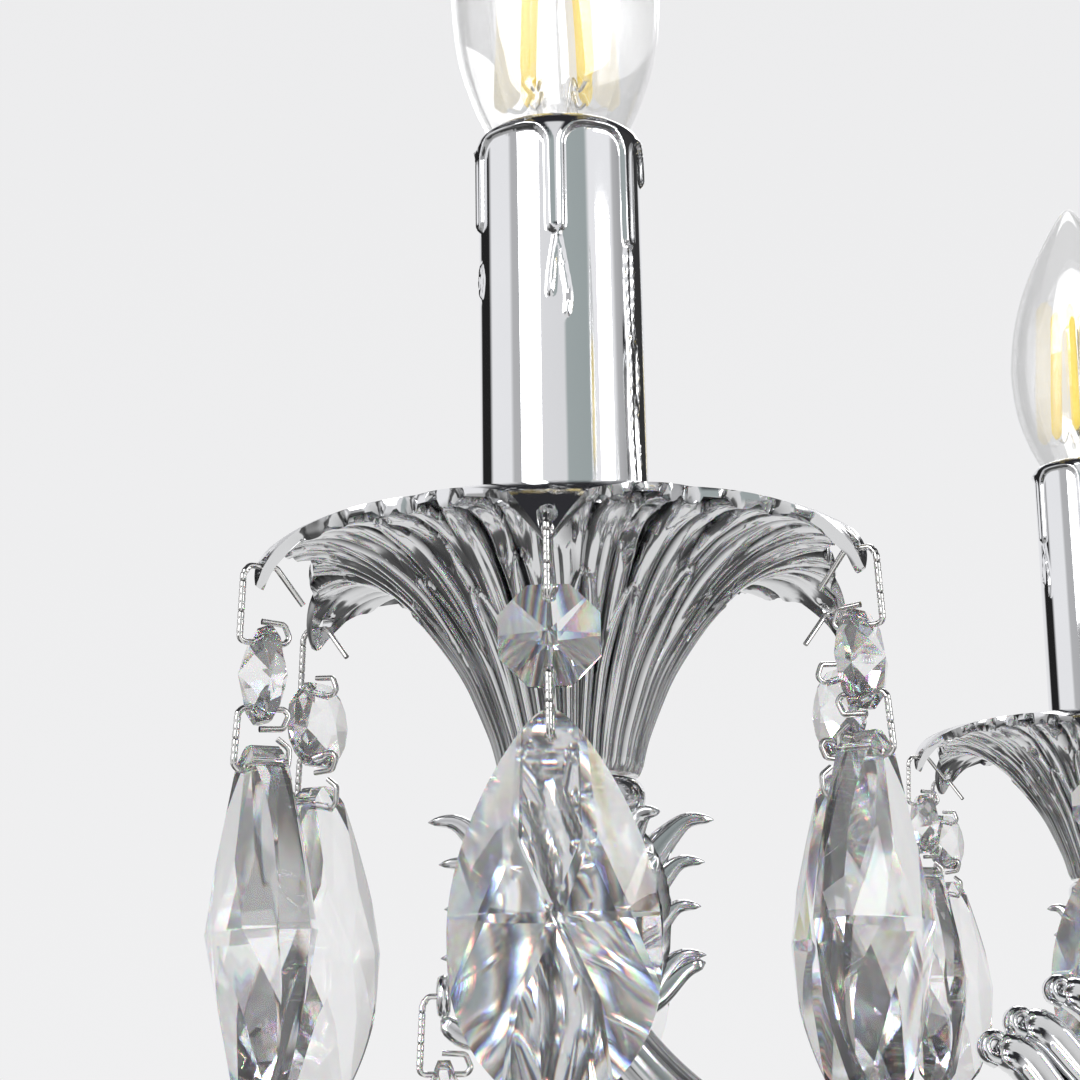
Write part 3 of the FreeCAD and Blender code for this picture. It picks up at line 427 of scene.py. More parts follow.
class Signal:
    """A node's output in a material, with the arithmetic operators adding Math nodes."""

    def __init__(self, graph: "Graph", socket: bpy.types.NodeSocket) -> None:
        """Wraps a socket of a graph."""
        self.graph = graph
        self.socket = socket

    def _maths(self, operation: str, first: Number, second: Number) -> "Signal":
        """A Math node on two values."""
        return self.graph.node("ShaderNodeMath", {"operation": operation}, {0: first, 1: second})

    def __add__(self, other: Number) -> "Signal":
        """This plus other."""
        return self._maths("ADD", self, other)

    def __mul__(self, other: Number) -> "Signal":
        """This times other."""
        return self._maths("MULTIPLY", self, other)

    def __rsub__(self, other: Number) -> "Signal":
        """Other minus this."""
        return self._maths("SUBTRACT", other, self)

    def beside(self, name: Union[int, str]) -> "Signal":
        """Another output of the same node."""
        return Signal(self.graph, self.socket.node.outputs[name])


class Graph:
    """A material's or the world's node tree, built by one method for every node."""

    def __init__(self, tree: bpy.types.NodeTree) -> None:
        """Empties the tree."""
        self.tree = tree
        tree.nodes.clear()

    def node(self, kind: str, settings: Optional[dict] = None, values: Optional[dict] = None,
             out: Union[int, str] = 0) -> Signal:
        """Adds a node, sets its settings and then the values or links of its sockets.

        Args:
            kind: the node's type.
            settings: its properties; "stops" holds a colour ramp's (place, colour) pairs.
            values: socket name or number to a number, a colour or a Signal.
            out: the output that is wanted.

        Returns:
            That output as a Signal.
        """
        made = self.tree.nodes.new(kind)
        for name, value in (settings or {}).items():
            if name == "stops":
                ramp = made.color_ramp.elements
                while len(ramp) < len(value):
                    ramp.new(0.5)
                for element, (place, colour) in zip(ramp, value):
                    element.position = place
                    element.color = colour
            else:
                setattr(made, name, value)
        for name, value in (values or {}).items():
            socket = made.inputs[name]
            if isinstance(value, Signal):
                self.tree.links.new(value.socket, socket)
            else:
                socket.default_value = value
        return Signal(self, made.outputs[out] if len(made.outputs) else None)

    def place(self) -> Signal:
        """The point of the surface in the object's own coordinates, in metres."""
        return self.node("ShaderNodeTexCoord", out="Object")

    def noise(self, scale: float, detail: float = 2.0, rough: float = 0.5,
              stretch: Optional[Sequence[float]] = None) -> Signal:
        """Noise on the object's coordinates, stretched along the axes where asked."""
        at = self.place()
        if stretch:
            at = self.node("ShaderNodeMapping", {}, {"Vector": at, "Scale": stretch})
        return self.node("ShaderNodeTexNoise", {},
                         {"Vector": at, "Scale": scale, "Detail": detail, "Roughness": rough})

    def attribute(self, name: str) -> Signal:
        """A number stored on the piece's points."""
        return self.node("ShaderNodeAttribute", {"attribute_name": name}, out="Fac")

    def mix(self, share: Number, first: Union[Signal, Sequence[float]],
            second: Union[Signal, Sequence[float]]) -> Signal:
        """A colour between two others."""
        return self.node("ShaderNodeMix", {"data_type": "RGBA"}, {0: share, 6: first, 7: second},
                         out=2)

    def bump(self, height: Signal, strength: float, distance: float) -> Signal:
        """A bumped normal from a height."""
        return self.node("ShaderNodeBump", {}, {"Height": height, "Strength": strength,
                                                "Distance": distance})

    def ease(self, value: Signal, start: float, end: float) -> Signal:
        """A smooth step from nought at the start to one at the end."""
        return self.node("ShaderNodeMapRange", {"interpolation_type": "SMOOTHSTEP"},
                         {"Value": value, "From Min": start, "From Max": end})

    def principled(self, colour: Union[Signal, Sequence[float]], rough: Signal,
                   **others: Union[Signal, float]) -> Signal:
        """The general shader; further inputs are named with underscores for their spaces."""
        values = {name.replace("_", " "): value for name, value in others.items()}
        return self.node("ShaderNodeBsdfPrincipled", {},
                         {"Base Color": colour, "Roughness": rough, **values})

    def blend(self, share: Number, first: Signal, second: Signal) -> Signal:
        """A shader between two others."""
        return self.node("ShaderNodeMixShader", {}, {0: share, 1: first, 2: second})

    def clear(self) -> Signal:
        """A shader that lets all light straight through."""
        return self.node("ShaderNodeBsdfTransparent")

    def surface(self, shader: Signal) -> None:
        """Sends a shader to the surface output."""
        self.node("ShaderNodeOutputMaterial", {}, {"Surface": shader})


@dataclass(frozen=True)
class Finish:
    """A finish's name and the record's slot it stands for."""

    name: str
    slot: str

    def paint(self, graph: Graph) -> None:
        """Builds the nodes of the finish."""
        raise NotImplementedError

    def material(self) -> bpy.types.Material:
        """The material of this finish, made once."""
        found = bpy.data.materials.get(self.name)
        if found:
            return found
        made = bpy.data.materials.new(self.name)
        made.use_nodes = True
        self.paint(Graph(made.node_tree))
        return made


@dataclass(frozen=True)
class Chrome(Finish):
    """Polished plate: nearly a mirror, with painted shade in its grooves, faintly uneven like a
    casting.
    """

    plate: tuple = (0.80, 0.805, 0.815, 1.0)
    painted_groove_shade: tuple = (0.05, 0.052, 0.055, 1.0)
    gloss: float = 0.045
    unevenness: float = 0.25
    grain: float = 90.0

    def paint(self, graph: Graph) -> None:
        """Metal whose colour falls to a painted shade in grooves and whose roughness follows
        noise.
        """
        # The groove attribute is painted shade per point; with a little random clouding it darkens
        # the plate towards the painted groove shade colour.
        groove = graph.attribute("groove")
        cloud = graph.noise(38.0, 4.0, 0.6)
        film = graph.noise(900.0, 2.0)
        share = groove * 0.92 + cloud * 0.06
        colour = graph.mix(share, self.plate, self.painted_groove_shade)
        rough = groove * 0.10 + film * 0.035 + self.gloss
        wave = graph.noise(self.grain, 3.0, 0.45)
        graph.surface(graph.principled(colour, rough, Metallic=1.0,
                                       Normal=graph.bump(wave, self.unevenness, 0.0012)))


@dataclass(frozen=True)
class Crystal(Finish):
    """Cut lead crystal: three clear glasses that bend red, green and blue a little apart."""

    bends: tuple = (1.520, 1.535, 1.553)
    strength: float = 1.6
    passed: float = 0.992
    clear: float = 0.045

    def paint(self, graph: Graph) -> None:
        """Mixes three glasses evenly; each favours one colour and their mean is clear.

        A small share of the light goes straight through, as a thin flawless stone lets it.
        """
        polish = graph.noise(650.0, 2.0) * 0.012
        rest = (3.0 - self.strength) / 2.0
        clears = []
        for k, bend in enumerate(self.bends):
            tint = [rest * self.passed] * 3 + [1.0]
            tint[k] = self.strength * self.passed
            clears.append(graph.node("ShaderNodeBsdfGlass", {},
                                     {"Color": tint, "IOR": bend, "Roughness": polish}))
        pair = graph.blend(1.0 / 2.0, clears[0], clears[1])
        glass = graph.blend(1.0 / 3.0, pair, clears[2])
        graph.surface(graph.blend(self.clear, glass, graph.clear()))


@dataclass(frozen=True)
class ClearGlass(Finish):
    """Thin blown glass of a bulb, with a little sheen of handling."""

    tint: tuple = (0.97, 0.97, 0.968, 1.0)
    clear: float = 0.78

    def paint(self, graph: Graph) -> None:
        """Glass with a faint noise in its roughness; most light goes straight through."""
        film = graph.noise(220.0, 3.0) * 0.02
        glass = graph.principled(self.tint, film, IOR=1.46, Transmission_Weight=1.0)
        graph.surface(graph.blend(self.clear, glass, graph.clear()))


@dataclass(frozen=True)
class Filament(Finish):
    """Yellow coated light strips of a bulb, unlit, with a grainy coat and a faint painted glow."""

    def paint(self, graph: Graph) -> None:
        """Yellow that varies with fine grain over a satin coat, with a faint painted glow of that
        yellow.
        """
        grain = graph.noise(1500.0, 3.0)
        colour = graph.mix(grain, (0.86, 0.60, 0.06, 1.0), (1.0, 0.83, 0.24, 1.0))
        # Painted glow: the unlit strips give off a little light of their own colour.
        graph.surface(graph.principled(colour, grain * 0.2 + 0.35, Emission_Color=colour,
                                       Emission_Strength=0.25,
                                       Normal=graph.bump(grain, 0.3, 0.0003)))


@dataclass(frozen=True)
class Silver(Finish):
    """Bright bent wire and supports."""

    plate: tuple = (0.86, 0.85, 0.83, 1.0)
    dull_and_painted_shade: tuple = (0.45, 0.44, 0.43, 1.0)

    def paint(self, graph: Graph) -> None:
        """Bright metal with fine lengthwise cloudiness and painted shade in the hollows of its
        ribs.
        """
        cloud = graph.noise(1800.0, 2.0)
        # The groove attribute is painted shade, dark in the rib hollows; it and a random cloud
        # darken the plate towards a grey.
        groove = graph.attribute("groove")
        colour = graph.mix(cloud * 0.25 + groove * 0.5, self.plate, self.dull_and_painted_shade)
        graph.surface(graph.principled(colour, cloud * 0.12 + 0.10, Metallic=1.0))


@dataclass(frozen=True)
class ZincSteel(Finish):
    """Zinc-plated steel with rolling lines."""

    def paint(self, graph: Graph) -> None:
        """Grey metal brushed along X by stretched noise."""
        lines = graph.noise(60.0, 5.0, 0.6, (1.0, 14.0, 14.0))
        colour = graph.mix(lines, (0.50, 0.50, 0.48, 1.0), (0.72, 0.72, 0.69, 1.0))
        graph.surface(graph.principled(colour, lines * 0.22 + 0.26, Metallic=1.0,
                                       Normal=graph.bump(lines, 0.25, 0.0004)))


@dataclass(frozen=True)
class WhitePlastic(Finish):
    """Moulded white lampholder plastic."""

    def paint(self, graph: Graph) -> None:
        """Warm white with a fine moulded grain."""
        grain = graph.noise(700.0, 3.0)
        colour = graph.mix(grain, (0.80, 0.79, 0.75, 1.0), (0.90, 0.89, 0.86, 1.0))
        graph.surface(graph.principled(colour, grain * 0.15 + 0.38,
                                       Normal=graph.bump(grain, 0.2, 0.0003)))


CAST = Chrome("chrome_casting", "chrome", gloss=0.085, unevenness=0.12)
PLATE = Chrome("chrome_tube", "chrome", gloss=0.02, unevenness=0.05, grain=28.0)
CRYSTAL = Crystal("cut_crystal", "crystal")
BULB_GLASS = ClearGlass("bulb_glass_clear", "bulb_glass")
FILAMENT = Filament("bulb_filament", "bulb_glass")
WIRE = Silver("pendant_wire", "crystal")
BULB_WIRE = Silver("bulb_wire", "bulb_glass")
ZINC = ZincSteel("zinc_steel_plate", "zinc_steel")
PLASTIC = WhitePlastic("white_plastic_moulded", "white_plastic")


# ------------------------------------------------------------------ places and pieces

def arm_place(number: int) -> Matrix:
    """The frame of an arm's candle, in mm: X away from the centre, Z = 0 at the bobeche."""
    return (about_z(HEADING - 360.0 * number / ARMS)
            @ Matrix.Translation((CANDLE_RADIUS, 0.0, BOBECHE_LEVEL)))


def piece(name: str, parts: Sequence[tuple], body: str, nodes: Sequence[str],
          crease: float = 40.0) -> None:
    """Makes a finished piece of one or more shapes, at the origin, and puts it on its body.

    Args:
        name: the object's name.
        parts: pairs of a shape in mm and its finish.
        body: the body it rides on.
        nodes: the solids that it stands for.
        crease: angle in degrees past which an edge stays sharp; nought keeps every facet flat.
    """
    whole = joined([shape for shape, _ in parts])
    mesh = bpy.data.meshes.new(name)
    faces = whole.quads.tolist() + whole.triangles.tolist()
    mesh.from_pydata((whole.points * METRE).tolist(), [], faces)
    finishes = list(dict.fromkeys(finish for _, finish in parts))
    for finish in finishes:
        mesh.materials.append(finish.material())
    numbers = [finishes.index(finish) for _, finish in parts]
    quads = np.repeat(numbers, [len(shape.quads) for shape, _ in parts])
    triangles = np.repeat(numbers, [len(shape.triangles) for shape, _ in parts])
    numbers = np.concatenate([quads, triangles])
    mesh.polygons.foreach_set("material_index", numbers.astype(np.int32))
    mesh.polygons.foreach_set("use_smooth", np.full(len(faces), crease > 0.0))
    # The shade array is painted shade per point, stored as the groove attribute that the finishes
    # darken by.
    groove = mesh.attributes.new("groove", "FLOAT", "POINT")
    groove.data.foreach_set("value", whole.shade.astype(np.float32))
    if crease > 0.0:
        mesh.set_sharp_from_angle(angle=math.radians(crease))
    mesh.update()
    made = linked(name, mesh)
    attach(made, body)
    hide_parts(*nodes)
    LOG.info("%s: %d faces on %s", name, len(faces), body)


def on_each_arm(pattern: str, parts: Sequence[tuple], node: str, crease: float) -> None:
    """Makes a piece five times, at each arm's candle, on the chandelier's body.

    Args:
        pattern: the pieces' name, with braces where the arm's number goes.
        parts: pairs of a shape about the candle and its finish.
        node: the solid that the pieces stand for.
        crease: angle in degrees past which an edge stays sharp.
    """
    for number in range(ARMS):
        place = arm_place(number)
        placed = [(shape.carried(place), finish) for shape, finish in parts]
        piece(pattern.format(number + 1), placed, "chandelier", [node], crease=crease)


def lip_turn(lip: int) -> float:
    """A lip's direction round its candle, in degrees from the arm's outward direction."""
    return LIP_HEADING + 360.0 * lip / LIPS


def angle_from(angle: np.ndarray, middle: float) -> np.ndarray:
    """Signed difference from an angle in radians, between minus and plus pi."""
    return (angle - middle + np.pi) % (2.0 * np.pi) - np.pi


@dataclass
class Bobeche:
    """The fluted lily under each candle, whose rim runs out into six drooping lips.

    Underside and pan are two curves turned round the candle. The rim cuts them off at a
    distance along the curve that grows towards each lip, so that the lips are pointed.
    """

    columns: int = 540
    low: int = 84
    high: int = 22
    steps: int = 500
    rim_radius: float = 40.0
    lip_half: float = 7.0
    teeth: int = 46
    hollows: int = 18
    pan_level: float = 25.5
    foot_level: float = 0.15
    leaf_rows: tuple = ((18, 0.0, 0.26, 0.64, 0.0), (18, 0.5, 0.56, 0.94, -0.30),
                        (24, 0.25, 0.80, 1.06, -0.50))
    under: tuple = ((10.5, 0.15), (10.8, 2.6), (12.0, 7.2), (15.3, 15.2), (20.0, 22.4),
                    (25.0, 28.2), (30.5, 32.4), (36.0, 34.6), (40.0, 35.1), (44.0, 34.2),
                    (47.4, 31.9), (49.8, 28.8), (50.7, 25.4))
    over: tuple = ((18.6, 25.8), (22.0, 28.9), (27.0, 33.2), (32.0, 36.2), (36.0, 37.3),
                   (40.0, 37.5), (44.5, 36.3), (48.5, 33.6), (51.2, 29.8), (52.0, 25.9))

    def leaves(self, angle: np.ndarray, share: np.ndarray) -> np.ndarray:
        """Height of the overlapping leaves that clothe the underside, in mm.

        Every row is a ring of lancets: full width up to its shoulder, then narrowing as the
        root of one minus a power to its tip. Across a leaf lie two rounded bands with a
        groove between them. The highest row at a point is the one that shows.
        """
        height = np.full((len(share), angle.shape[1]), -1.3)
        for number, (count, phase, shoulder, tip, base) in enumerate(self.leaf_rows):
            sway = 0.10 * np.sin(3.0 * angle + 2.0 * number) * share
            turn = angle * count / (2.0 * np.pi) + phase + sway
            index = np.floor(turn)
            ends = tip + 0.045 * np.sin(2.4 * index + number) - 0.02 * np.cos(5.1 * index)
            climb = np.clip((share - shoulder) / (ends - shoulder), 0.0, 1.0)
            half = 0.5 * np.sqrt(np.clip(1.0 - climb ** 1.7, 0.0, 1.0)) + 1e-6
            across = np.abs(turn - index - 0.5) / half
            bands = np.clip(1.0 - ((across - 0.54) / 0.48) ** 2, 0.0, 1.0) ** 0.66
            vein = 0.80 * np.exp(-(across / 0.22) ** 2) * np.clip(1.4 - climb, 0.0, 1.0)
            leaf = base + bands - vein * (across < 1.0)
            height = np.where((across < 1.0) & (share < ends), np.maximum(height, leaf), height)
        hollow = angle * self.hollows / (2.0 * np.pi) + 0.25
        spot = np.abs(hollow - np.floor(hollow) - 0.5) / 0.19
        oval = np.clip(1.0 - spot ** 2 - ((share - 0.80) / 0.13) ** 2, 0.0, 1.0)
        return height - 0.9 * oval ** 0.7

    def along(self, knots: Sequence[Sequence[float]], share: np.ndarray, lip: np.ndarray,
              bend: float) -> tuple:
        """Points of a turned curve and the curve's directions there.

        Args:
            knots: the curve's (radius, level) knots; its last one is a lip's tip.
            share: rows x 1, from 0 at the curve's start to 1 at the rim.
            lip: 1 x columns, distance in degrees from the nearest lip's middle.
            bend: share from which the rows begin to stretch towards the lips.

        Returns:
            Radius, level, and the two parts of the curve's direction, each rows x columns.
        """
        line = smooth_line(knots, self.steps)
        way = directions(line)
        steps = np.linspace(0.0, 1.0, self.steps)
        middle = steps[int(np.argmax(line[:, 0] > self.rim_radius))]
        between = 180.0 / LIPS
        reach = (0.60 * (1.0 - lip / between) ** 1.15
                 + 0.40 * np.clip(1.0 - np.sqrt(lip ** 2 + 0.3) / self.lip_half, 0.0, 1.0))
        extra = (1.0 - middle) * reach * np.clip((share - bend) / (1.0 - bend), 0.0, 1.0) ** 1.5
        at = share * middle + extra
        return tuple(np.interp(at, steps, table) for table in (line[:, 0], line[:, 1],
                                                                 way[:, 0], way[:, 1]))

    def metal(self) -> Shape:
        """The whole lily: leafy underside, notched rim with its lips, smooth pan and bore."""
        angle = turns(self.columns)[None, :]
        lip = np.degrees(np.min([np.abs(angle_from(angle, math.radians(lip_turn(k))))
                                 for k in range(LIPS)], axis=0))
        share = np.linspace(0.0, 1.0, self.low)[:, None]
        radius, level, out, up = self.along(self.under, share, lip, 0.45)
        tip = np.clip(1.6 - lip / self.lip_half, 0.0, 1.0) * np.clip((share - 0.7) / 0.2, 0.0, 1.0)
        swell = np.interp(share, [0.0, 0.03, 0.25, 0.8, 1.0], [0.2, 0.75, 1.05, 1.0, 0.7])
        height = self.leaves(angle, share) * swell * (1.0 - 0.8 * tip)
        # Painted shade: darker in the leaves' grooves, where the height falls under its local
        # mean, and a faint shade over the whole underside.
        shade = np.clip(2.2 * (smoothed(height, 2, 5) - height) + 0.10, 0.0, 1.0)
        under = (radius + up * height, level - out * height)
        back = np.linspace(1.0, 0.0, self.high)[:, None]
        pan = self.along(self.over, back, lip, 0.3)
        beat = angle * self.teeth / (2.0 * np.pi) + 0.22 * np.sin(7.0 * angle)
        notch = np.clip(1.0 - np.abs(2.0 * (beat % 1.0) - 1.0) / 0.42, 0.0, 1.0) ** 0.8
        notch = notch * np.clip(lip / self.lip_half - 0.7, 0.0, 1.0)
        step = np.array([0.04, 0.2, 0.5, 0.8, 0.96])[:, None]
        bulge = 0.10 * np.sin(np.pi * step) - 1.5 * notch * (1.0 - 0.7 * step)
        edge = [first[-1:] + (last[:1] - first[-1:]) * step + way[-1:] * bulge
                for first, last, way in ((under[0], pan[0], out), (under[1], pan[1], up))]
        inner = np.array([(17.4, self.pan_level), (5.7, self.pan_level),
                          (5.7, self.foot_level), (9.6, self.foot_level)])
        plain = np.ones_like(angle)
        reach = np.vstack([under[0], edge[0], pan[0], inner[:, :1] * plain])
        lift = np.vstack([under[1], edge[1], pan[1], inner[:, 1:] * plain])
        bare = np.zeros((len(pan[0]) + len(inner), self.columns))
        # Painted shade in the rim's notches; the pan and bore get none.
        shade = np.vstack([shade, 0.7 * notch * (1.0 - step), bare])
        points = np.stack([reach * np.cos(angle), reach * np.sin(angle), lift], -1)
        return grid(points, loop=True, shade=shade)

    def build(self) -> None:
        """Drills and countersinks the six hook holes once and sets a lily on each arm."""
        drill = round_bar(5.0, 1.3, HOOK_HOLE_LEVEL, HOOK_RADIUS)
        sink = round_bar(0.8, 1.2, HOOK_HOLE_LEVEL, HOOK_RADIUS + 0.5, flare=1.7)
        metal = self.metal()
        for tool in (drill, sink):
            metal = with_holes(metal, joined([tool.carried(about_z(lip_turn(lip)))
                                              for lip in range(LIPS)]))
        on_each_arm("bobeche_{}_lily", [(metal, CAST)], "bobeches", 50.0)


@dataclass
class Arm:
    """A cast arm: bead ring, upright acanthus cluster, fluted stem and scroll leaf."""

    rows: tuple = ((22.2, -6.7, 1.0), (20.6, -13.2, 0.92), (19.8, -20.0, 0.9), (20.4, -27.4, 0.85))
    spokes: int = 8
    ribs: int = 14
    eye_wire: float = 1.05
    reach: float = 185.8
    entry: float = -38.0
    scroll_tips: tuple = ((-62.4, -41.8), (-66.6, -38.2), (-73.0, -33.4), (-84.0, -31.0))
    scroll_roots: tuple = ((-84.0, -55.0), (-90.0, -52.0), (-97.0, -48.5), (-104.0, -45.5))

    def bead(self) -> Shape:
        """The plain ring that the lily stands on, a half-round moulding."""
        knots = [(5.6, -0.4), (9.8, -0.4), (11.2, -1.4), (11.65, -3.2), (11.0, -5.2), (9.0, -6.3),
                 (8.6, -7.4), (9.4, -8.4), (5.6, -9.0)]
        return turned(np.vstack([smooth_line(knots, 30), [(5.6, -8.0)]]), 72, loop=True)

    def core(self) -> Shape:
        """The cluster's body: a fluted bud, flatter across the arm than along it."""
        knots = [(3.0, -7.5), (9.5, -8.5), (12.2, -13.0), (13.2, -20.0), (12.4, -28.0),
                 (9.6, -35.0), (6.4, -40.0), (2.0, -42.0)]

        def ribs(angle: np.ndarray, share: np.ndarray) -> np.ndarray:
            """Upright ribs that swing as they rise, deepest at mid height."""
            swing = angle * self.ribs + 2.2 * np.sin(3.0 * share * np.pi)
            return -(np.abs(np.sin(0.5 * swing)) ** 6) * 2.0 * np.sin(np.pi * share) ** 0.5

        return turned(smooth_line(knots, 46), 140, relief=ribs).scaled(1.0, 0.80, 1.0)

    def lobes(self) -> list[Shape]:
        """Leaf tips in four rows: each rises from the bud, leans out and rounds off."""
        found = []
        for reach, level, size in self.rows:
            for spoke in range(self.spokes):
                turn = 360.0 * spoke / self.spokes
                length = reach * (1.0 - 0.36 * abs(math.sin(math.radians(turn))) ** 1.5)
                knots = [(6.0, level - 10.0), (0.50 * length, level - 6.4),
                         (0.68 * length, level - 2.2), (0.82 * length, level + 0.1),
                         (length, level + 0.1)]
                leaf = bar(knots, 4.3 * size, 0.55 * size, sides=16, across=1.3, groove=0.25)
                found.append(leaf.carried(about_z(turn)))
        return found

    def curl(self) -> list[Shape]:
        """The hook lip: a leaf that rolls outwards and ends in an eye for a pendant."""
        eye = hoop(CURL_LEVEL, 4.6, 4.6, self.eye_wire, sides=12, steps=28)
        eye = eye.carried(Matrix.Translation((CURL_RADIUS, 0.0, 0.0)) @ about_z(90.0))
        stem = bar([(6.0, -31.0), (11.0, -38.2), (16.5, -39.0), (20.4, -36.4)], 3.4, 1.5,
                   sides=16, across=1.2, groove=0.3)
        leaf = bar([(7.0, -34.0), (12.5, -33.6), (16.0, -30.6), (19.4, -28.9)], 2.8, 1.0,
                   sides=16, across=1.4, groove=0.25)
        inner = bar([(-6.5, -36.5), (-12.5, -33.5), (-17.0, -29.6), (-20.2, -28.4)], 2.8, 1.0,
                    sides=16, across=1.3, groove=0.25)
        return [eye, stem, leaf, inner]

    def stem(self) -> Shape:
        """The fluted tube from the candle through the lowest point to the hub."""
        knots = [(0.0, -9.0), (0.0, -22.3), (-2.1, -32.9), (-8.3, -43.4), (-20.0, -53.9),
                 (-36.0, -61.1), (-53.3, -62.0), (-71.9, -57.0), (-93.2, -43.8),
                 (-114.6, -39.1), (-148.6, self.entry), (4.0 - self.reach, self.entry),
                 (-self.reach - 12.0, self.entry)]
        path = smooth_line(knots, 120)
        share = np.linspace(0.0, 1.0, len(path))
        radii = 5.3 + 1.0 * np.sin(np.pi * share)
        radii = np.where(share > 0.945, 5.1, radii)
        return tube(path, radii, sides=48, lobes=12)

    def scroll(self) -> list[Shape]:
        """The shell leaf: hollow fingers that fan from the stem and roll over at their tips."""
        found = []
        ends = zip(self.scroll_tips, self.scroll_roots)
        for k, ((tip_x, tip_z), (root_x, root_z)) in enumerate(ends):
            middle = (0.5 * (tip_x + root_x) - 1.5, 0.5 * (tip_z + root_z) - 2.5)
            knots = [(root_x - 8.0, root_z - 3.0), (root_x, root_z), middle,
                     (tip_x - 6.0, tip_z - 1.6), (tip_x - 1.6, tip_z - 0.4)]
            finger = bar(knots, 2.4, 3.3 - 0.2 * k, 34, sides=24, across=1.45, groove=0.42)
            # The fingers keep a fifth of their painted groove shade.
            finger.shade *= 0.2
            found.append(finger)
            roll = 2.4 - 0.25 * k
            spiral = [(tip_x - 2.2 + roll * math.cos(a) * (1.0 - 0.09 * j),
                       tip_z + 0.4 + roll * math.sin(a) * (1.0 - 0.09 * j))
                      for j, a in enumerate(np.linspace(-1.6, 3.4, 8))]
            found.append(bar(spiral, 1.3, 0.8, 26, sides=12, across=2.0))
        back = bar([(-126.0, -42.5), (-112.0, -38.0), (-98.0, -34.5), (-86.0, -31.5)], 3.4, 2.2,
                   30, sides=20, across=0.95, groove=0.3)
        return found + [back]

    def build(self) -> None:
        """Makes one cast arm in each direction."""
        whole = joined([self.bead(), self.core(), self.stem()] + self.lobes() + self.curl()
                       + self.scroll())
        on_each_arm("arm_{}_casting", [(whole, CAST)], "arms", 60.0)


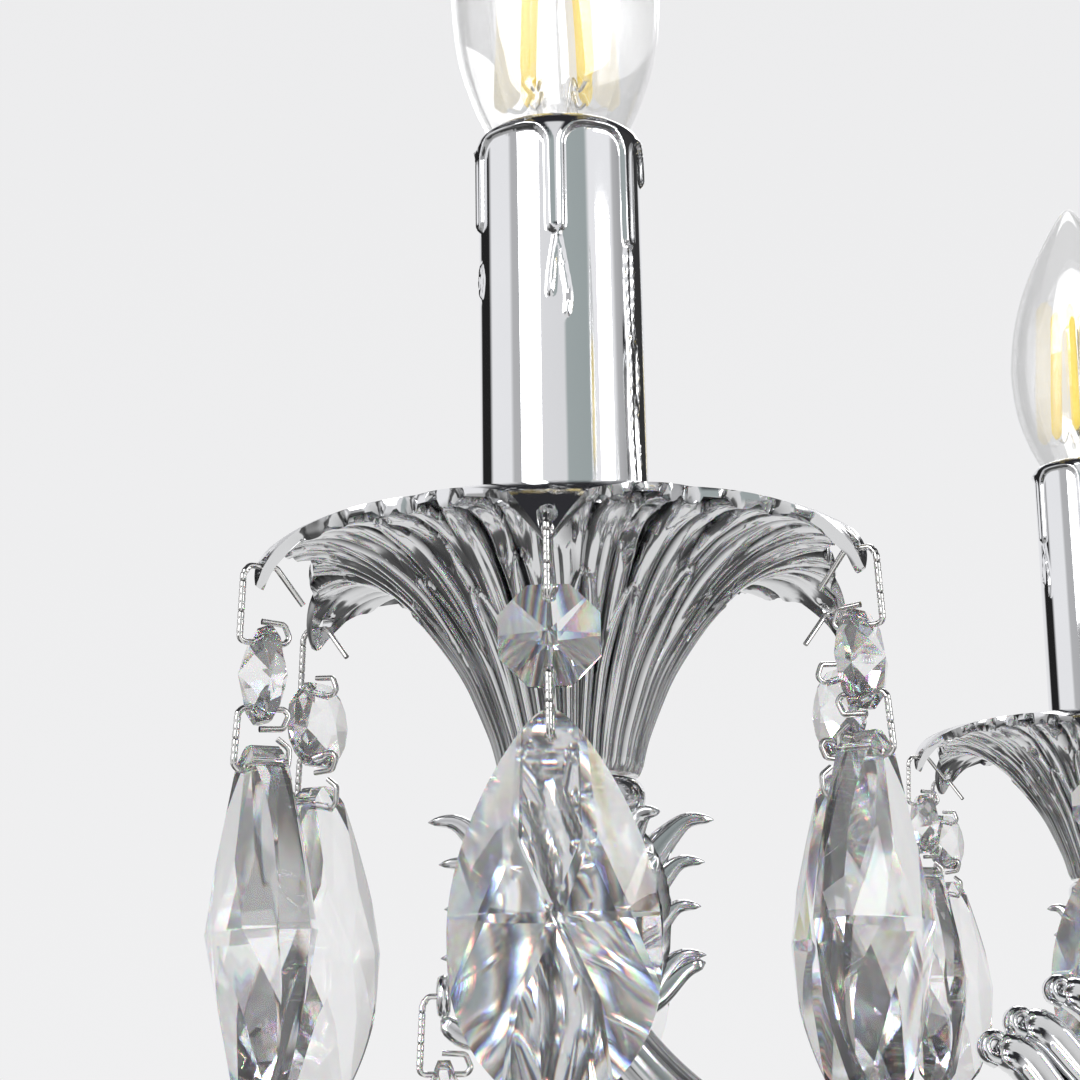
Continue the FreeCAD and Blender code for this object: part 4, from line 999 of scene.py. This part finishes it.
@dataclass
class Sleeve:
    """A candle sleeve whose rounded top has runs of wax moulded on it.

    Each run is (direction in degrees, half width, length) in mm under the top edge, and each
    thread a line of (direction, depth under the top) that a thin run of wax follows.
    """

    foot: float = 25.8
    top: float = 106.2
    radius: float = 13.6
    columns: int = 256
    plain_top: float = 38.0
    shoulder_rows: int = 9
    skirt: float = 2.6
    corner: float = 3.6
    skin: float = 0.45
    border: float = 0.35
    thread: float = 0.55
    runs: tuple = ((14.0, 1.5, 17.5), (83.0, 1.5, 21.0), (140.0, 1.5, 22.0), (172.0, 1.2, 9.0),
                   (204.0, 1.5, 25.0), (241.0, 1.1, 11.0), (280.0, 1.5, 19.0), (325.0, 1.4, 28.0))
    threads: tuple = (((83.5, 21.5), (80.0, 27.0), (78.5, 31.0)), ((84.0, 21.5), (87.5, 27.0),
                      (90.0, 31.5), (89.0, 34.5)), ((137.0, 22.5), (136.5, 30.0), (138.0, 40.0),
                      (137.5, 52.0), (139.5, 62.0)), ((143.0, 22.5), (143.5, 29.0), (142.0, 34.5),
                      (145.5, 39.0), (147.0, 44.0), (144.5, 49.0), (140.5, 46.0), (141.0, 40.0),
                      (142.0, 34.5)), ((143.5, 50.0), (145.5, 58.0), (147.0, 68.0)),
                     ((14.0, 23.5), (11.5, 26.0), (14.0, 28.5), (16.5, 26.0), (14.0, 23.5)),
                     ((205.0, 26.0), (202.0, 33.0), (206.0, 39.0), (208.0, 33.0), (205.0, 26.0)),
                     ((281.0, 20.0), (279.0, 28.0), (282.0, 35.0)),
                     ((325.0, 29.0), (322.0, 36.0), (326.0, 44.0), (328.0, 37.0), (325.0, 30.0)))

    def edge(self) -> np.ndarray:
        """How far the wax hangs under the top, round the sleeve: (arc length, depth) points.

        It is the skirt, plus round corners beside each run, plus the run with a round end.
        """
        arc = np.linspace(-0.5, 2.0 * np.pi + 0.5, 1500) * self.radius
        hang = np.full_like(arc, self.skirt)
        for middle, half, length in self.runs:
            apart = np.abs(angle_from(arc / self.radius, math.radians(middle))) * self.radius
            beside = np.clip(self.corner - (apart - half), 0.0, self.corner)
            hang = np.maximum(hang, self.skirt + self.corner
                              - np.sqrt(self.corner ** 2 - beside ** 2))
            end = half - np.sqrt(np.clip(half ** 2 - apart ** 2, 0.0, None))
            hang = np.where(apart < half, np.maximum(hang, length - end), hang)
        return np.stack([arc, hang], -1)

    def wax(self, angle: np.ndarray, level: np.ndarray) -> np.ndarray:
        """Thickness of the wax: a skin with a raised border, and threads under its runs.

        With d the distance inside the wax's edge, the skin is a smooth step in d, and its
        border a bell curve about half a millimetre inside.
        """
        edge = self.edge()
        line = even_steps(edge, 1700)
        arc = angle * self.radius + 0.0 * level
        down = self.top - level + 0.0 * angle
        inside = np.where(down < np.interp(arc, edge[:, 0], edge[:, 1]), 1.0, -1.0)
        gap = inside * distance_to(line, arc, down)
        skin = np.clip((gap + 0.15) / 0.6, 0.0, 1.0)
        thick = (self.skin * skin * skin * (3.0 - 2.0 * skin)
                 + self.border * np.exp(-((gap - 0.55) / 0.42) ** 2))
        for thread in self.threads:
            knots = np.array(thread) * np.array([math.radians(1.0) * self.radius, 1.0])
            near = distance_to(smooth_line(knots, 60), arc, down)
            thick = np.maximum(thick, self.thread * np.exp(-(near / 0.42) ** 2))
        return thick

    def metal(self) -> Shape:
        """The tube: plain foot, waxed part, rounded shoulder, lip and plain bore."""
        angle = turns(self.columns)[None, :]
        levels = np.concatenate([np.linspace(self.foot, self.plain_top, 5)[:-1],
                                 np.linspace(self.plain_top, self.top - 2.6, 128)])
        taper = np.interp(levels, [self.foot, self.top], [self.radius, self.radius - 0.3])
        wall = np.stack([taper, levels], -1)
        shoulder = smooth_line([(self.radius - 0.3, self.top - 2.4),
                                (self.radius - 0.45, self.top - 1.3),
                                (self.radius - 1.1, self.top - 0.45), (12.2, self.top - 0.3),
                                (11.95, self.top - 1.0)], 14)
        bore = np.array([(12.1, self.top - 6.0), (12.2, self.foot)])
        profile = np.vstack([wall, shoulder, bore])
        radius, level = profile[:, :1], profile[:, 1:]
        thick = np.zeros((len(profile), self.columns))
        waxed = len(wall) + self.shoulder_rows
        thick[:waxed] = self.wax(angle, level[:waxed])
        thick[len(wall):waxed] *= np.linspace(1.0, 0.3, self.shoulder_rows)[:, None]
        reach = radius + thick
        points = np.stack([reach * np.cos(angle), reach * np.sin(angle), level + 0 * angle], -1)
        return grid(points, loop=True)

    def build(self) -> None:
        """Makes one sleeve on each arm."""
        on_each_arm("candle_sleeve_{}", [(self.metal(), PLATE)], "candle_sleeves", 70.0)


@dataclass
class Bulb:
    """A clear candle bulb: blown glass, stem, supports and four yellow light strips."""

    outline: tuple = ((7.0, 99.2), (8.4, 100.4), (9.6, 103.2), (11.6, 107.4), (14.2, 113.2),
                      (16.4, 120.5), (17.4, 128.5), (17.35, 135.0), (16.1, 144.0), (13.6, 153.0),
                      (9.6, 162.5), (5.6, 170.0), (2.6, 174.8), (0.9, 176.6), (0.3, 176.8))
    wall: float = 0.5
    strip_half: float = 1.45
    wire_radius: float = 0.32
    cap_foot: float = 73.2
    cap_top: float = 99.0
    thread_pitch: float = 2.8

    @staticmethod
    def spins() -> list[Matrix]:
        """The turns about the axis at which the four strips stand."""
        return [about_z(90.0 * k + 41.0) for k in range(4)]

    def glass(self) -> Shape:
        """The envelope: its outline turned round, then back down half a millimetre inside."""
        outer = smooth_line(self.outline, 64)
        inner = outer - self.wall * normals_of(outer)
        inner[:, 0] = np.maximum(inner[:, 0], 0.15)
        return turned(np.vstack([outer, inner[::-1]]), 64, loop=True)

    def strips(self) -> Shape:
        """Four light strips, leaning slightly inwards as they rise."""
        path = smooth_line([(6.9, 114.5), (6.4, 126.0), (5.6, 138.0), (5.0, 149.0)], 24)
        share = np.linspace(-1.0, 1.0, len(path))
        radii = self.strip_half * np.clip(1.0 - share ** 24, 0.3, 1.0)
        strip = tube(path, radii, sides=12, across=0.8)
        return joined([strip.carried(spin) for spin in self.spins()])

    def stem(self) -> Shape:
        """The glass foot that holds the wires: a flare, a thick press and a thin tube on it."""
        knots = [(6.6, 99.8), (4.4, 102.0), (3.6, 106.0), (3.5, 111.6), (2.9, 113.0), (1.2, 113.8),
                 (0.95, 118.0), (0.95, 130.0), (0.3, 133.5)]
        return turned(smooth_line(knots, 34), 32)

    def wires(self) -> Shape:
        """Support wires from the press out to the strips' lower and upper ends."""
        low = smooth_line([(2.4, 111.5), (3.6, 116.0), (5.0, 113.4), (6.9, 115.0)], 18)
        high = smooth_line([(0.4, 133.0), (1.8, 148.2), (5.0, 149.2)], 14)
        pair = joined([tube(path, np.full(len(path), self.wire_radius), sides=8)
                       for path in (low, high)])
        return joined([pair.carried(spin) for spin in self.spins()])

    def cap(self) -> Shape:
        """The threaded screw cap under the glass."""
        level = np.linspace(self.cap_foot, self.cap_top, 80)
        radius = 6.6 + 0.3 * np.sin((level - 73.0) * 2.0 * np.pi / self.thread_pitch)
        radius *= np.interp(level, [self.cap_foot, self.cap_foot + 3.8], [0.45, 1.0])
        return turned(np.stack([radius, level], -1), 40)

    def build(self) -> None:
        """Makes one bulb in each lampholder."""
        parts = [(self.glass(), BULB_GLASS), (self.stem(), BULB_GLASS), (self.strips(), FILAMENT),
                 (self.wires(), BULB_WIRE), (self.cap(), BULB_WIRE)]
        on_each_arm("bulb_{}_candle", parts, "bulbs", 50.0)


@dataclass
class Pendant:
    """A hook wire, an octagon, a second wire and an almond drop, below a hook hole."""

    sides: int = 8
    bead_level: float = -16.4
    bead_half: float = 7.0
    bead_tilt: float = 0.46
    bead_deep: float = 3.9
    bead_hole: float = 4.9
    drop_top: float = -26.9
    drop_length: float = 54.0
    drop_half: float = 14.1
    drop_neck: float = 1.0
    drop_hole: float = 3.6
    widest: float = 0.56
    ridge: tuple = (7.4, 0.0, 0.0)
    side: tuple = (5.63, 8.4, 0.0)
    edge: tuple = (2.4, 14.1, 0.0)
    kites: tuple = (((5.47, 4.2, 10.0), (1.7, 12.6, 10.0)),
                    ((4.58, 5.0, -10.5), (1.7, 13.6, -10.5)))
    hole_radius: float = 0.75
    wire_radius: float = 0.47

    def octagon(self) -> Shape:
        """The bead: eight flat sides and, on both faces, eight facets that meet in its middle."""
        flat = turns(self.sides)
        slant = flat + math.pi / self.sides
        rim = np.stack([0.0 * flat, np.cos(flat), np.sin(flat)], -1)
        faces = [np.stack([0.0 * slant + front, self.bead_tilt * np.cos(slant),
                           self.bead_tilt * np.sin(slant)], -1) for front in (-1.0, 1.0)]
        normals = np.vstack([rim] + faces)
        lengths = np.linalg.norm(normals, axis=1)
        reaches = np.repeat([self.bead_half, self.bead_deep], [self.sides, 2 * self.sides])
        stone = cut_stone(normals / lengths[:, None], reaches / lengths)
        bars = joined([round_bar(6.0, self.hole_radius, level)
                       for level in (self.bead_hole, -self.bead_hole)])
        return with_holes(stone, bars).carried(Matrix.Translation((0.0, 0.0, self.bead_level)))

    def outline(self, share: np.ndarray) -> np.ndarray:
        """Half width of the drop at a share of its length.

        It is a power of a sine down to the widest place and then one minus a power, to a point.
        """
        above = self.drop_neck + (self.drop_half - self.drop_neck) * np.sin(
            0.5 * np.pi * np.clip(share / self.widest, 0.0, 1.0)) ** 0.76
        past = np.clip((share - self.widest) / (1.0 - self.widest), 0.0, 1.0)
        below = self.drop_half * (1.0 - past ** 2.8) ** 0.95
        return np.where(share < self.widest, above, below)

    def almond(self) -> Shape:
        """The drop: a ground edge round its outline and two rows of facets on either half.

        Facets are planes through corners given as (depth, distance across, height over the
        level ridge). Kites stand on the ridge, two inside and two at the rim. A middle and two
        side facets reach from between them to the drop's ends.
        """
        middle = 0.5 * self.drop_length
        share = np.linspace(0.0, 0.996, 100)
        rim = np.stack([0.0 * share, self.outline(share), middle - share * self.drop_length], -1)
        planes = [((0.0, 0.0, middle), (1.0, 0.0, middle), (0.0, 1.0, middle))]
        planes += [(one, two, one + (1.0, 0.0, 0.0)) for one, two in zip(rim[:-1], rim[1:])]
        for kite, end in self.kites:
            across = (kite[0], -kite[1], kite[2])
            planes += [(self.ridge, kite, across), (self.ridge, self.side, kite),
                       (kite, self.side, end), (self.side, self.edge, end)]
        corners = np.array(planes)
        mirrors = [corners * (x, y, 1.0) for x in (1.0, -1.0) for y in (1.0, -1.0)]
        corners = np.vstack(mirrors)
        normals = np.cross(corners[:, 1] - corners[:, 0], corners[:, 2] - corners[:, 0])
        normals /= np.linalg.norm(normals, axis=1, keepdims=True)
        reaches = np.einsum("ij,ij->i", normals, corners[:, 0])
        normals *= np.sign(reaches)[:, None]
        table = np.unique(np.round(np.column_stack([normals, np.abs(reaches)]), 6), axis=0)
        stone = cut_stone(table[:, :3], table[:, 3])
        hole = round_bar(9.0, self.hole_radius, middle - self.drop_hole)
        return with_holes(stone, hole).carried(
            Matrix.Translation((0.0, 0.0, self.drop_top - middle)))

    def wires(self) -> Shape:
        """The two bent wires, their outer legs ribbed, their free ends curled back."""
        top = self.bead_level + self.bead_hole
        foot = self.bead_level - self.bead_hole
        hole = self.drop_top - self.drop_hole
        hook = [(-6.3, -5.5), (-1.9, 0.0), (2.3, 0.05), (3.2, -1.2), (3.7, top + 0.4), (2.9, top),
                (-3.4, top), (-4.1, top + 0.9), (-3.3, top + 2.9), (0.4, top + 3.2)]
        link = [(0.6, foot - 3.1), (-3.2, foot - 2.9), (-4.1, foot - 0.9), (-3.4, foot),
                (3.0, foot), (3.8, foot - 0.8), (4.4, hole + 0.7), (3.6, hole), (-3.2, hole),
                (-4.0, hole + 0.8), (-4.2, hole + 3.4), (-2.2, hole + 4.9)]
        return joined([wire_link(hook, self.wire_radius, (top + 0.8, -0.6)),
                       wire_link(link, self.wire_radius, (hole + 0.8, foot - 0.7))])

    def build(self) -> None:
        """Hangs one pendant from every lip and every arm's curl."""
        crystal = joined([self.octagon(), self.almond()])
        wires = self.wires()
        hook = Matrix.Translation((HOOK_RADIUS, 0.0, HOOK_LEVEL))
        places = {f"lip_{lip + 1}": about_z(lip_turn(lip)) @ hook for lip in range(LIPS)}
        places["curl"] = Matrix.Translation((CURL_RADIUS, 0.0, CURL_LEVEL))
        for number in range(ARMS):
            for label, local in places.items():
                node = f"pendant_{number + 1}_{label}"
                place = arm_place(number) @ local
                piece(f"{node}_crystal", [(crystal.carried(place), CRYSTAL)], node, [node],
                      crease=8.0)
                piece(f"{node}_wire", [(wires.carried(place), WIRE)], node, [node], crease=60.0)


@dataclass
class CentreColumn:
    """The stacked castings between chain and finial, fluted like the lilies."""

    castings: tuple = (
        ("leaf_crown", -172.0, 23.7, 2.0, 20,
         ((0.0, 10.6), (0.3, 12.2), (0.5, 17.0), (0.64, 25.6), (0.72, 26.3), (0.8, 22.0),
          (0.9, 14.0), (1.0, 10.0))),
        ("upper_baluster", -260.0, 87.7, 1.5, 20,
         ((0.0, 12.6), (0.04, 13.0), (0.10, 10.2), (0.25, 14.6), (0.42, 20.2), (0.55, 17.0),
          (0.66, 12.2), (0.78, 10.0), (0.90, 9.2), (0.95, 13.0), (1.0, 13.2))),
        ("centre_column", -377.0, 116.7, 1.9, 24,
         ((0.0, 25.0), (0.03, 25.2), (0.08, 18.5), (0.14, 15.8), (0.30, 12.0), (0.45, 17.5),
          (0.66, 26.0), (0.76, 24.6), (0.84, 21.0), (0.94, 13.4), (1.0, 12.6))),
        ("lower_bowl", -433.0, 33.7, 2.0, 24,
         ((0.0, 10.2), (0.1, 13.5), (0.22, 18.0), (0.45, 26.2), (0.68, 31.0), (0.86, 32.6),
          (0.93, 31.4), (1.0, 30.8))))
    link_tops: tuple = (-50.5, -75.0, -99.5)
    link_width: float = 13.0
    link_length: float = 28.0
    ring_width: float = 19.0
    wire: float = 1.48
    canopy_sheet: float = 1.4
    ball_radius: float = 19.6
    ball_level: float = -495.0
    ball_hole: float = 21.2
    ball_rows: tuple = ((-64.0, 8), (-40.0, 16), (-14.0, 16), (14.0, 16), (40.0, 16), (62.0, 8))

    def fluted(self, node: str, foot: float, height: float, depth: float, flutes: int,
               knots: Sequence[Sequence[float]]) -> None:
        """One casting: radii at shares of its height, turned, with rounded upright flutes.

        Args:
            node: the solid it stands for, which also names the piece.
            foot: level of its lower face.
            height: its height.
            depth: how deep the flutes are.
            flutes: their number.
            knots: (share of height, radius) pairs.
        """
        line = smooth_line([(radius, foot + share * height) for share, radius in knots], 90)
        profile = np.vstack([[(TUBE_BORE, line[0, 1])], line, [(TUBE_BORE, line[-1, 1])]])

        def relief(angle: np.ndarray, share: np.ndarray) -> np.ndarray:
            """Grooves between round ribs, fading at both ends."""
            ends = np.clip(np.minimum(share, 1.0 - share) / 0.08 - 0.6, 0.0, 1.0)
            sway = 0.15 * np.sin(6.0 * share * np.pi)
            return -depth * np.abs(np.cos(0.5 * flutes * angle + sway)) ** 5 * ends

        casting = turned(profile, 240, loop=True, relief=relief)
        piece(f"{node}_cast", [(casting, CAST)], "chandelier", [node], crease=50.0)

    def build(self) -> None:
        """Builds the crown, vases, hub cover, bowl and finial."""
        for casting in self.castings:
            self.fluted(*casting)
        self.finial()
        self.hub()
        self.rings_and_chain()
        self.canopy()
        self.ball()

    def finial(self) -> None:
        """The end nut: a small vase with a flat eye below."""
        line = smooth_line([(3.6, -459.6), (4.8, -458.0), (8.0, -453.0), (10.6, -448.6),
                            (9.2, -444.0), (6.6, -440.6), (7.4, -438.4), (10.2, -436.0),
                            (10.2, -433.6)], 60)
        body = turned(np.vstack([[(0.4, -459.8)], line, [(5.4, -433.5)]]), 96)
        eye = hoop(FINIAL_EYE_LEVEL, 5.2, 5.2, 1.3, sides=12, steps=32)
        piece("finial_cast", [(body, CAST), (eye, CAST)], "chandelier", ["finial"], crease=50.0)

    def hub(self) -> None:
        """The hub: a ten-sided disc with moulded edges, open for the tube."""
        corner = 2.0 * np.pi / (2 * ARMS)
        angle = turns(240)[None, :]
        shift = angle - math.radians(HEADING) - 0.5 * corner
        side = math.cos(corner / 2.0) / np.cos((shift % corner) - corner / 2.0)
        line = np.array([(TUBE_BORE, -399.0), (31.5, -399.0), (34.0, -398.2), (35.6, -396.4),
                         (36.6, -393.6), (36.6, -382.6), (35.6, -380.0), (34.0, -378.2),
                         (31.5, -377.4), (TUBE_BORE, -377.4)])
        reach = line[:, :1] * np.where(line[:, :1] > TUBE_BORE, side, 1.0)
        points = np.stack([reach * np.cos(angle), reach * np.sin(angle), line[:, 1:] + 0 * angle],
                          -1)
        piece("arm_hub_cast", [(grid(points, loop=True), CAST)], "chandelier", ["arm_hub"],
              crease=30.0)

    def rings_and_chain(self) -> None:
        """The two rings with their nuts, and the three links."""
        for number, top in enumerate(self.link_tops):
            node = f"chain_link_{number + 1}"
            link = hoop(top - 0.5 * self.link_length, self.link_width, self.link_length, self.wire)
            turn = about_z(0.0 if number == 1 else 90.0)
            piece(f"{node}_wire", [(link.carried(turn), PLATE)], node, [node], crease=60.0)
        upper = hoop(-44.5, self.ring_width, self.ring_width, self.wire)
        nut = turned(smooth_line([(4.4, -30.4), (7.2, -30.5), (7.35, -32.6), (6.6, -34.4),
                                  (3.4, -35.3)], 24), 64)
        tube_part = turned(np.array([(0.6, 0.0), (4.9, -0.05), (4.9, -31.0), (0.6, -31.0)]), 40)
        piece("canopy_ring_cast", [(upper, PLATE), (nut, PLATE), (tube_part, PLATE)], "ceiling",
              ["canopy_ring"], crease=40.0)
        lower = hoop(-133.5, self.ring_width, self.ring_width, self.wire)
        cup = turned(smooth_line([(3.2, -142.5), (6.4, -143.2), (8.2, -144.8), (8.3, -147.4),
                                  (5.5, -147.6)], 24), 64)
        piece("top_ring_cast", [(lower, PLATE), (cup, PLATE)], "chandelier", ["top_ring"],
              crease=40.0)

    def canopy(self) -> None:
        """The ceiling cover: a dished sheet with two rolled steps, and its cap nuts."""
        outer = smooth_line([(61.4, -0.05), (61.8, -1.0), (61.7, -4.0), (60.8, -7.0),
                             (58.6, -12.0), (56.0, -17.0), (52.6, -22.0), (47.0, -26.4),
                             (40.0, -29.2), (36.0, -29.9), (20.0, -29.95), (5.7, -29.95)], 90)
        inner = outer[::-1] + np.array([0.0, self.canopy_sheet])
        inner[:, 0] = np.where(inner[:, 0] > 12.0, inner[:, 0] - 1.3, inner[:, 0])
        inner[:, 1] = np.minimum(inner[:, 1], -0.06)
        piece("canopy_cover", [(turned(np.vstack([outer, inner]), 128, loop=True), PLATE)],
              "ceiling", ["canopy"], crease=40.0)
        line = smooth_line([(3.9, -30.4), (4.0, -31.0), (4.0, -33.6), (3.6, -35.4), (2.2, -37.0),
                            (0.3, -37.6)], 26)
        nut = turned(np.vstack([[(0.3, -30.35)], line]), 40)
        nuts = joined([nut.carried(Matrix.Translation((x, 0.0, 0.0))) for x in (-28.0, 28.0)])
        piece("canopy_cap_nuts", [(nuts, PLATE)], "ceiling", ["canopy_nuts"], crease=40.0)

    def ball(self) -> None:
        """The faceted ball below the finial: planes that touch a sphere in seven rows."""
        normals = [np.array([(0.0, 0.0, -1.0)])]
        for k, (tilt, sides) in enumerate(self.ball_rows):
            lean = math.radians(tilt)
            turn = turns(sides) + (k % 2) * math.pi / sides
            normals.append(np.stack([math.cos(lean) * np.cos(turn), math.cos(lean) * np.sin(turn),
                                     0.0 * turn + math.sin(lean)], -1))
        normals = np.vstack(normals + [np.array([(0.0, 0.0, 1.0)])])
        reaches = np.full(len(normals), self.ball_radius)
        reaches[-1] -= 0.3
        neck = turned(np.array([(0.1, 15.0), (4.2, 15.0), (3.6, 19.2), (3.4, 23.6),
                                (0.1, 24.0)]), 8)
        drill = round_bar(6.0, 0.8, self.ball_hole).carried(about_z(90.0))
        crystal = joined([cut_stone(normals, reaches), with_holes(neck, drill)])
        crystal = crystal.carried(Matrix.Translation((0.0, 0.0, self.ball_level)))
        eye, hole = FINIAL_EYE_LEVEL, self.ball_level + self.ball_hole
        wire = wire_link([(-3.2, eye - 2.4), (-2.8, eye), (2.8, eye), (3.4, eye - 1.5),
                          (4.6, hole + 0.8), (3.8, hole), (-3.9, hole), (-4.6, hole + 1.0),
                          (-4.2, hole + 3.6)], 0.5, (hole + 1.0, eye - 1.0))
        wire = wire.carried(about_z(90.0))
        piece("crystal_ball_cut", [(crystal, CRYSTAL)], "crystal_ball", ["crystal_ball"],
              crease=0.0)
        piece("crystal_ball_wire", [(wire, WIRE)], "crystal_ball", ["crystal_ball"], crease=60.0)


# ------------------------------------------------------------------ studio

@dataclass
class Studio:
    """Camera, pale surroundings, soft lamps and the floor.

    Flags and ground are stops of (place, shade): flags go once round the compass and ground
    from ahead to the side, as mirrored by the chandelier.
    """

    eye: tuple = (-0.2246, -0.3727, -0.3944)
    pitch: float = 13.02
    roll: float = -0.97
    lens: float = 76.7
    flags: tuple = ((0.0, 0.85), (0.105, 0.88), (0.125, 0.50), (0.14, 0.36), (0.155, 0.52),
                    (0.20, 0.55), (0.215, 0.98), (0.315, 0.98), (0.335, 0.02), (0.41, 0.02),
                    (0.43, 0.90), (0.575, 0.90), (0.59, 0.04), (0.71, 0.05), (0.735, 0.42),
                    (0.775, 0.55), (0.79, 1.0), (0.885, 1.0), (0.90, (0.40, 0.45, 0.45, 1.0)),
                    (0.985, (0.42, 0.47, 0.47, 1.0)), (0.995, 0.85), (1.0, 0.85))
    ground: tuple = ((0.0, 0.80), (0.56, 0.85), (0.66, 0.14), (0.90, 0.05), (0.97, 0.40),
                     (1.0, 0.45))
    sky_below: tuple = (0.93, 0.93, 0.935, 1.0)
    sky_above: tuple = (0.81, 0.81, 0.82, 1.0)
    ceiling: tuple = (0.03, 0.03, 0.035, 1.0)
    bent_share: float = 0.9
    aim: tuple = (-0.1, 0.0, -0.3)
    lamps: tuple = (("key_left", (-1.3, -1.1, 0.5), 0.9, 10.0),
                    ("fill_right", (1.4, -0.9, 0.1), 0.7, 7.0),
                    ("rim_back", (0.2, 1.5, 0.9), 0.8, 8.0))
    floor_half: float = 4.0
    floor_level: float = -2.2

    def camera(self) -> None:
        """Places the camera where the photograph was taken from."""
        data = bpy.data.cameras.new("photo_camera")
        data.lens = self.lens
        data.sensor_width = 36.0
        data.clip_start = 0.01
        made = linked("photo_camera", data)
        turn = (Matrix.Rotation(math.radians(90.0 + self.pitch), 4, "X")
                @ Matrix.Rotation(math.radians(self.roll), 4, "Z"))
        made.matrix_world = Matrix.Translation(self.eye) @ turn
        bpy.context.scene.camera = made

    def world(self) -> None:
        """A pale studio: plain for the camera, with grey and dark flags for reflections.

        The reflected colour follows the direction's compass angle and height, as a photographer's
        white sheets and black flags round the object would. Light that crystals bend far aside
        sees the flags too.
        """
        world = bpy.data.worlds.new("studio")
        bpy.context.scene.world = world
        world.use_nodes = True
        graph = Graph(world.node_tree)
        way = graph.node("ShaderNodeTexCoord", out="Generated")
        split = graph.node("ShaderNodeSeparateXYZ", {}, {0: way})
        across, ahead, height = (split.beside(k) for k in range(3))
        compass = graph.node("ShaderNodeMath", {"operation": "ARCTAN2"}, {0: across, 1: ahead})
        turn = compass * (0.5 / math.pi) + 0.5
        flags = graph.node("ShaderNodeValToRGB", {"stops": [
            (place, shade if isinstance(shade, tuple) else (shade, shade, 1.02 * shade, 1.0))
            for place, shade in self.flags]}, {0: turn})
        flags = graph.mix(graph.ease(height, 0.42, 0.72), flags, self.ceiling)
        wave = graph.node("ShaderNodeTexNoise", {}, {"Vector": way, "Scale": 1.9, "Detail": 1.0})
        side = graph.node("ShaderNodeMath", {"operation": "ABSOLUTE"}, {0: across})
        lower = graph.node("ShaderNodeValToRGB", {"stops": [
            (place, (shade, shade, shade, 1.0)) for place, shade in self.ground]},
                           {0: side * 0.8 + wave * 0.6})
        flags = graph.mix(graph.ease(height, 0.04, -0.14), flags, lower)
        plain = graph.mix(height * 0.5 + 0.5, self.sky_below, self.sky_above)
        path = graph.node("ShaderNodeLightPath", out="Is Glossy Ray")
        through = path.beside("Is Transmission Ray")
        bent = through * graph.ease(ahead, 0.86, 0.55) * self.bent_share
        plain = graph.mix(bent, plain, flags)
        back = graph.node("ShaderNodeBackground", {}, {"Color": plain, "Strength": 1.0})
        mirror = graph.node("ShaderNodeBackground", {}, {"Color": flags, "Strength": 1.0})
        shader = graph.blend(path * (1.0 - through), back, mirror)
        graph.node("ShaderNodeOutputWorld", {}, {"Surface": shader})

    def lamp(self, name: str, place: Sequence[float], size: float, power: float) -> None:
        """A soft square lamp at a place, turned to face the aim."""
        data = bpy.data.lights.new(name, "AREA")
        data.size = size
        data.energy = power
        way = Vector(self.aim) - Vector(place)
        turn = way.to_track_quat("-Z", "Y").to_matrix().to_4x4()
        linked(name, data).matrix_world = Matrix.Translation(place) @ turn

    def floor(self) -> None:
        """A pale floor far below the chandelier; polished metal mirrors the studio instead."""
        points = [(x * self.floor_half, y * self.floor_half, self.floor_level)
                  for x, y in ((-1, -1), (1, -1), (1, 1), (-1, 1))]
        mesh = bpy.data.meshes.new("floor")
        mesh.from_pydata(points, [], [(0, 1, 2, 3)])
        made = linked("floor", mesh)
        material = bpy.data.materials.new("floor_paint")
        material.use_nodes = True
        graph = Graph(material.node_tree)
        cloud = graph.noise(0.8, 3.0)
        colour = graph.mix(cloud, (0.82, 0.82, 0.82, 1.0), (0.87, 0.87, 0.87, 1.0))
        paint = graph.principled(colour, cloud * 0.1 + 0.7)
        glossy = graph.node("ShaderNodeLightPath", out="Is Glossy Ray")
        graph.surface(graph.blend(glossy, paint, graph.clear()))
        mesh.materials.append(material)

    def build(self) -> None:
        """Sets up the whole studio."""
        self.camera()
        self.world()
        for lamp in self.lamps:
            self.lamp(*lamp)
        self.floor()


class HiddenNode(Enum):
    """Solids whose shape stays as it is, with the finish each one gets."""

    CEILING_BRACKET = ("ceiling_bracket", ZINC)
    CENTRE_TUBE = ("centre_tube", ZINC)
    NIPPLES = ("nipples", ZINC)
    LOCK_NUTS = ("lock_nuts", ZINC)
    LAMPHOLDERS = ("lampholders", PLASTIC)


def dress_solids() -> None:
    """Gives each solid that stays in sight its own finish."""
    for choice in HiddenNode:
        node, finish = choice.value
        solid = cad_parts[node]
        solid.data.materials.clear()
        solid.data.materials.append(finish.material())
        LOG.info("%s keeps its solid in %s", node, finish.name)


def main() -> None:
    """Builds the chandelier's looks in order."""
    logging.basicConfig(level=logging.INFO)
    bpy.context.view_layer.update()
    bpy.context.scene.view_settings.view_transform = "Standard"
    Studio().build()
    dress_solids()
    for part in (Bobeche(), Arm(), Sleeve(), Bulb(), Pendant(), CentreColumn()):
        part.build()
    bpy.context.view_layer.update()


if __name__ == "__main__":
    main()
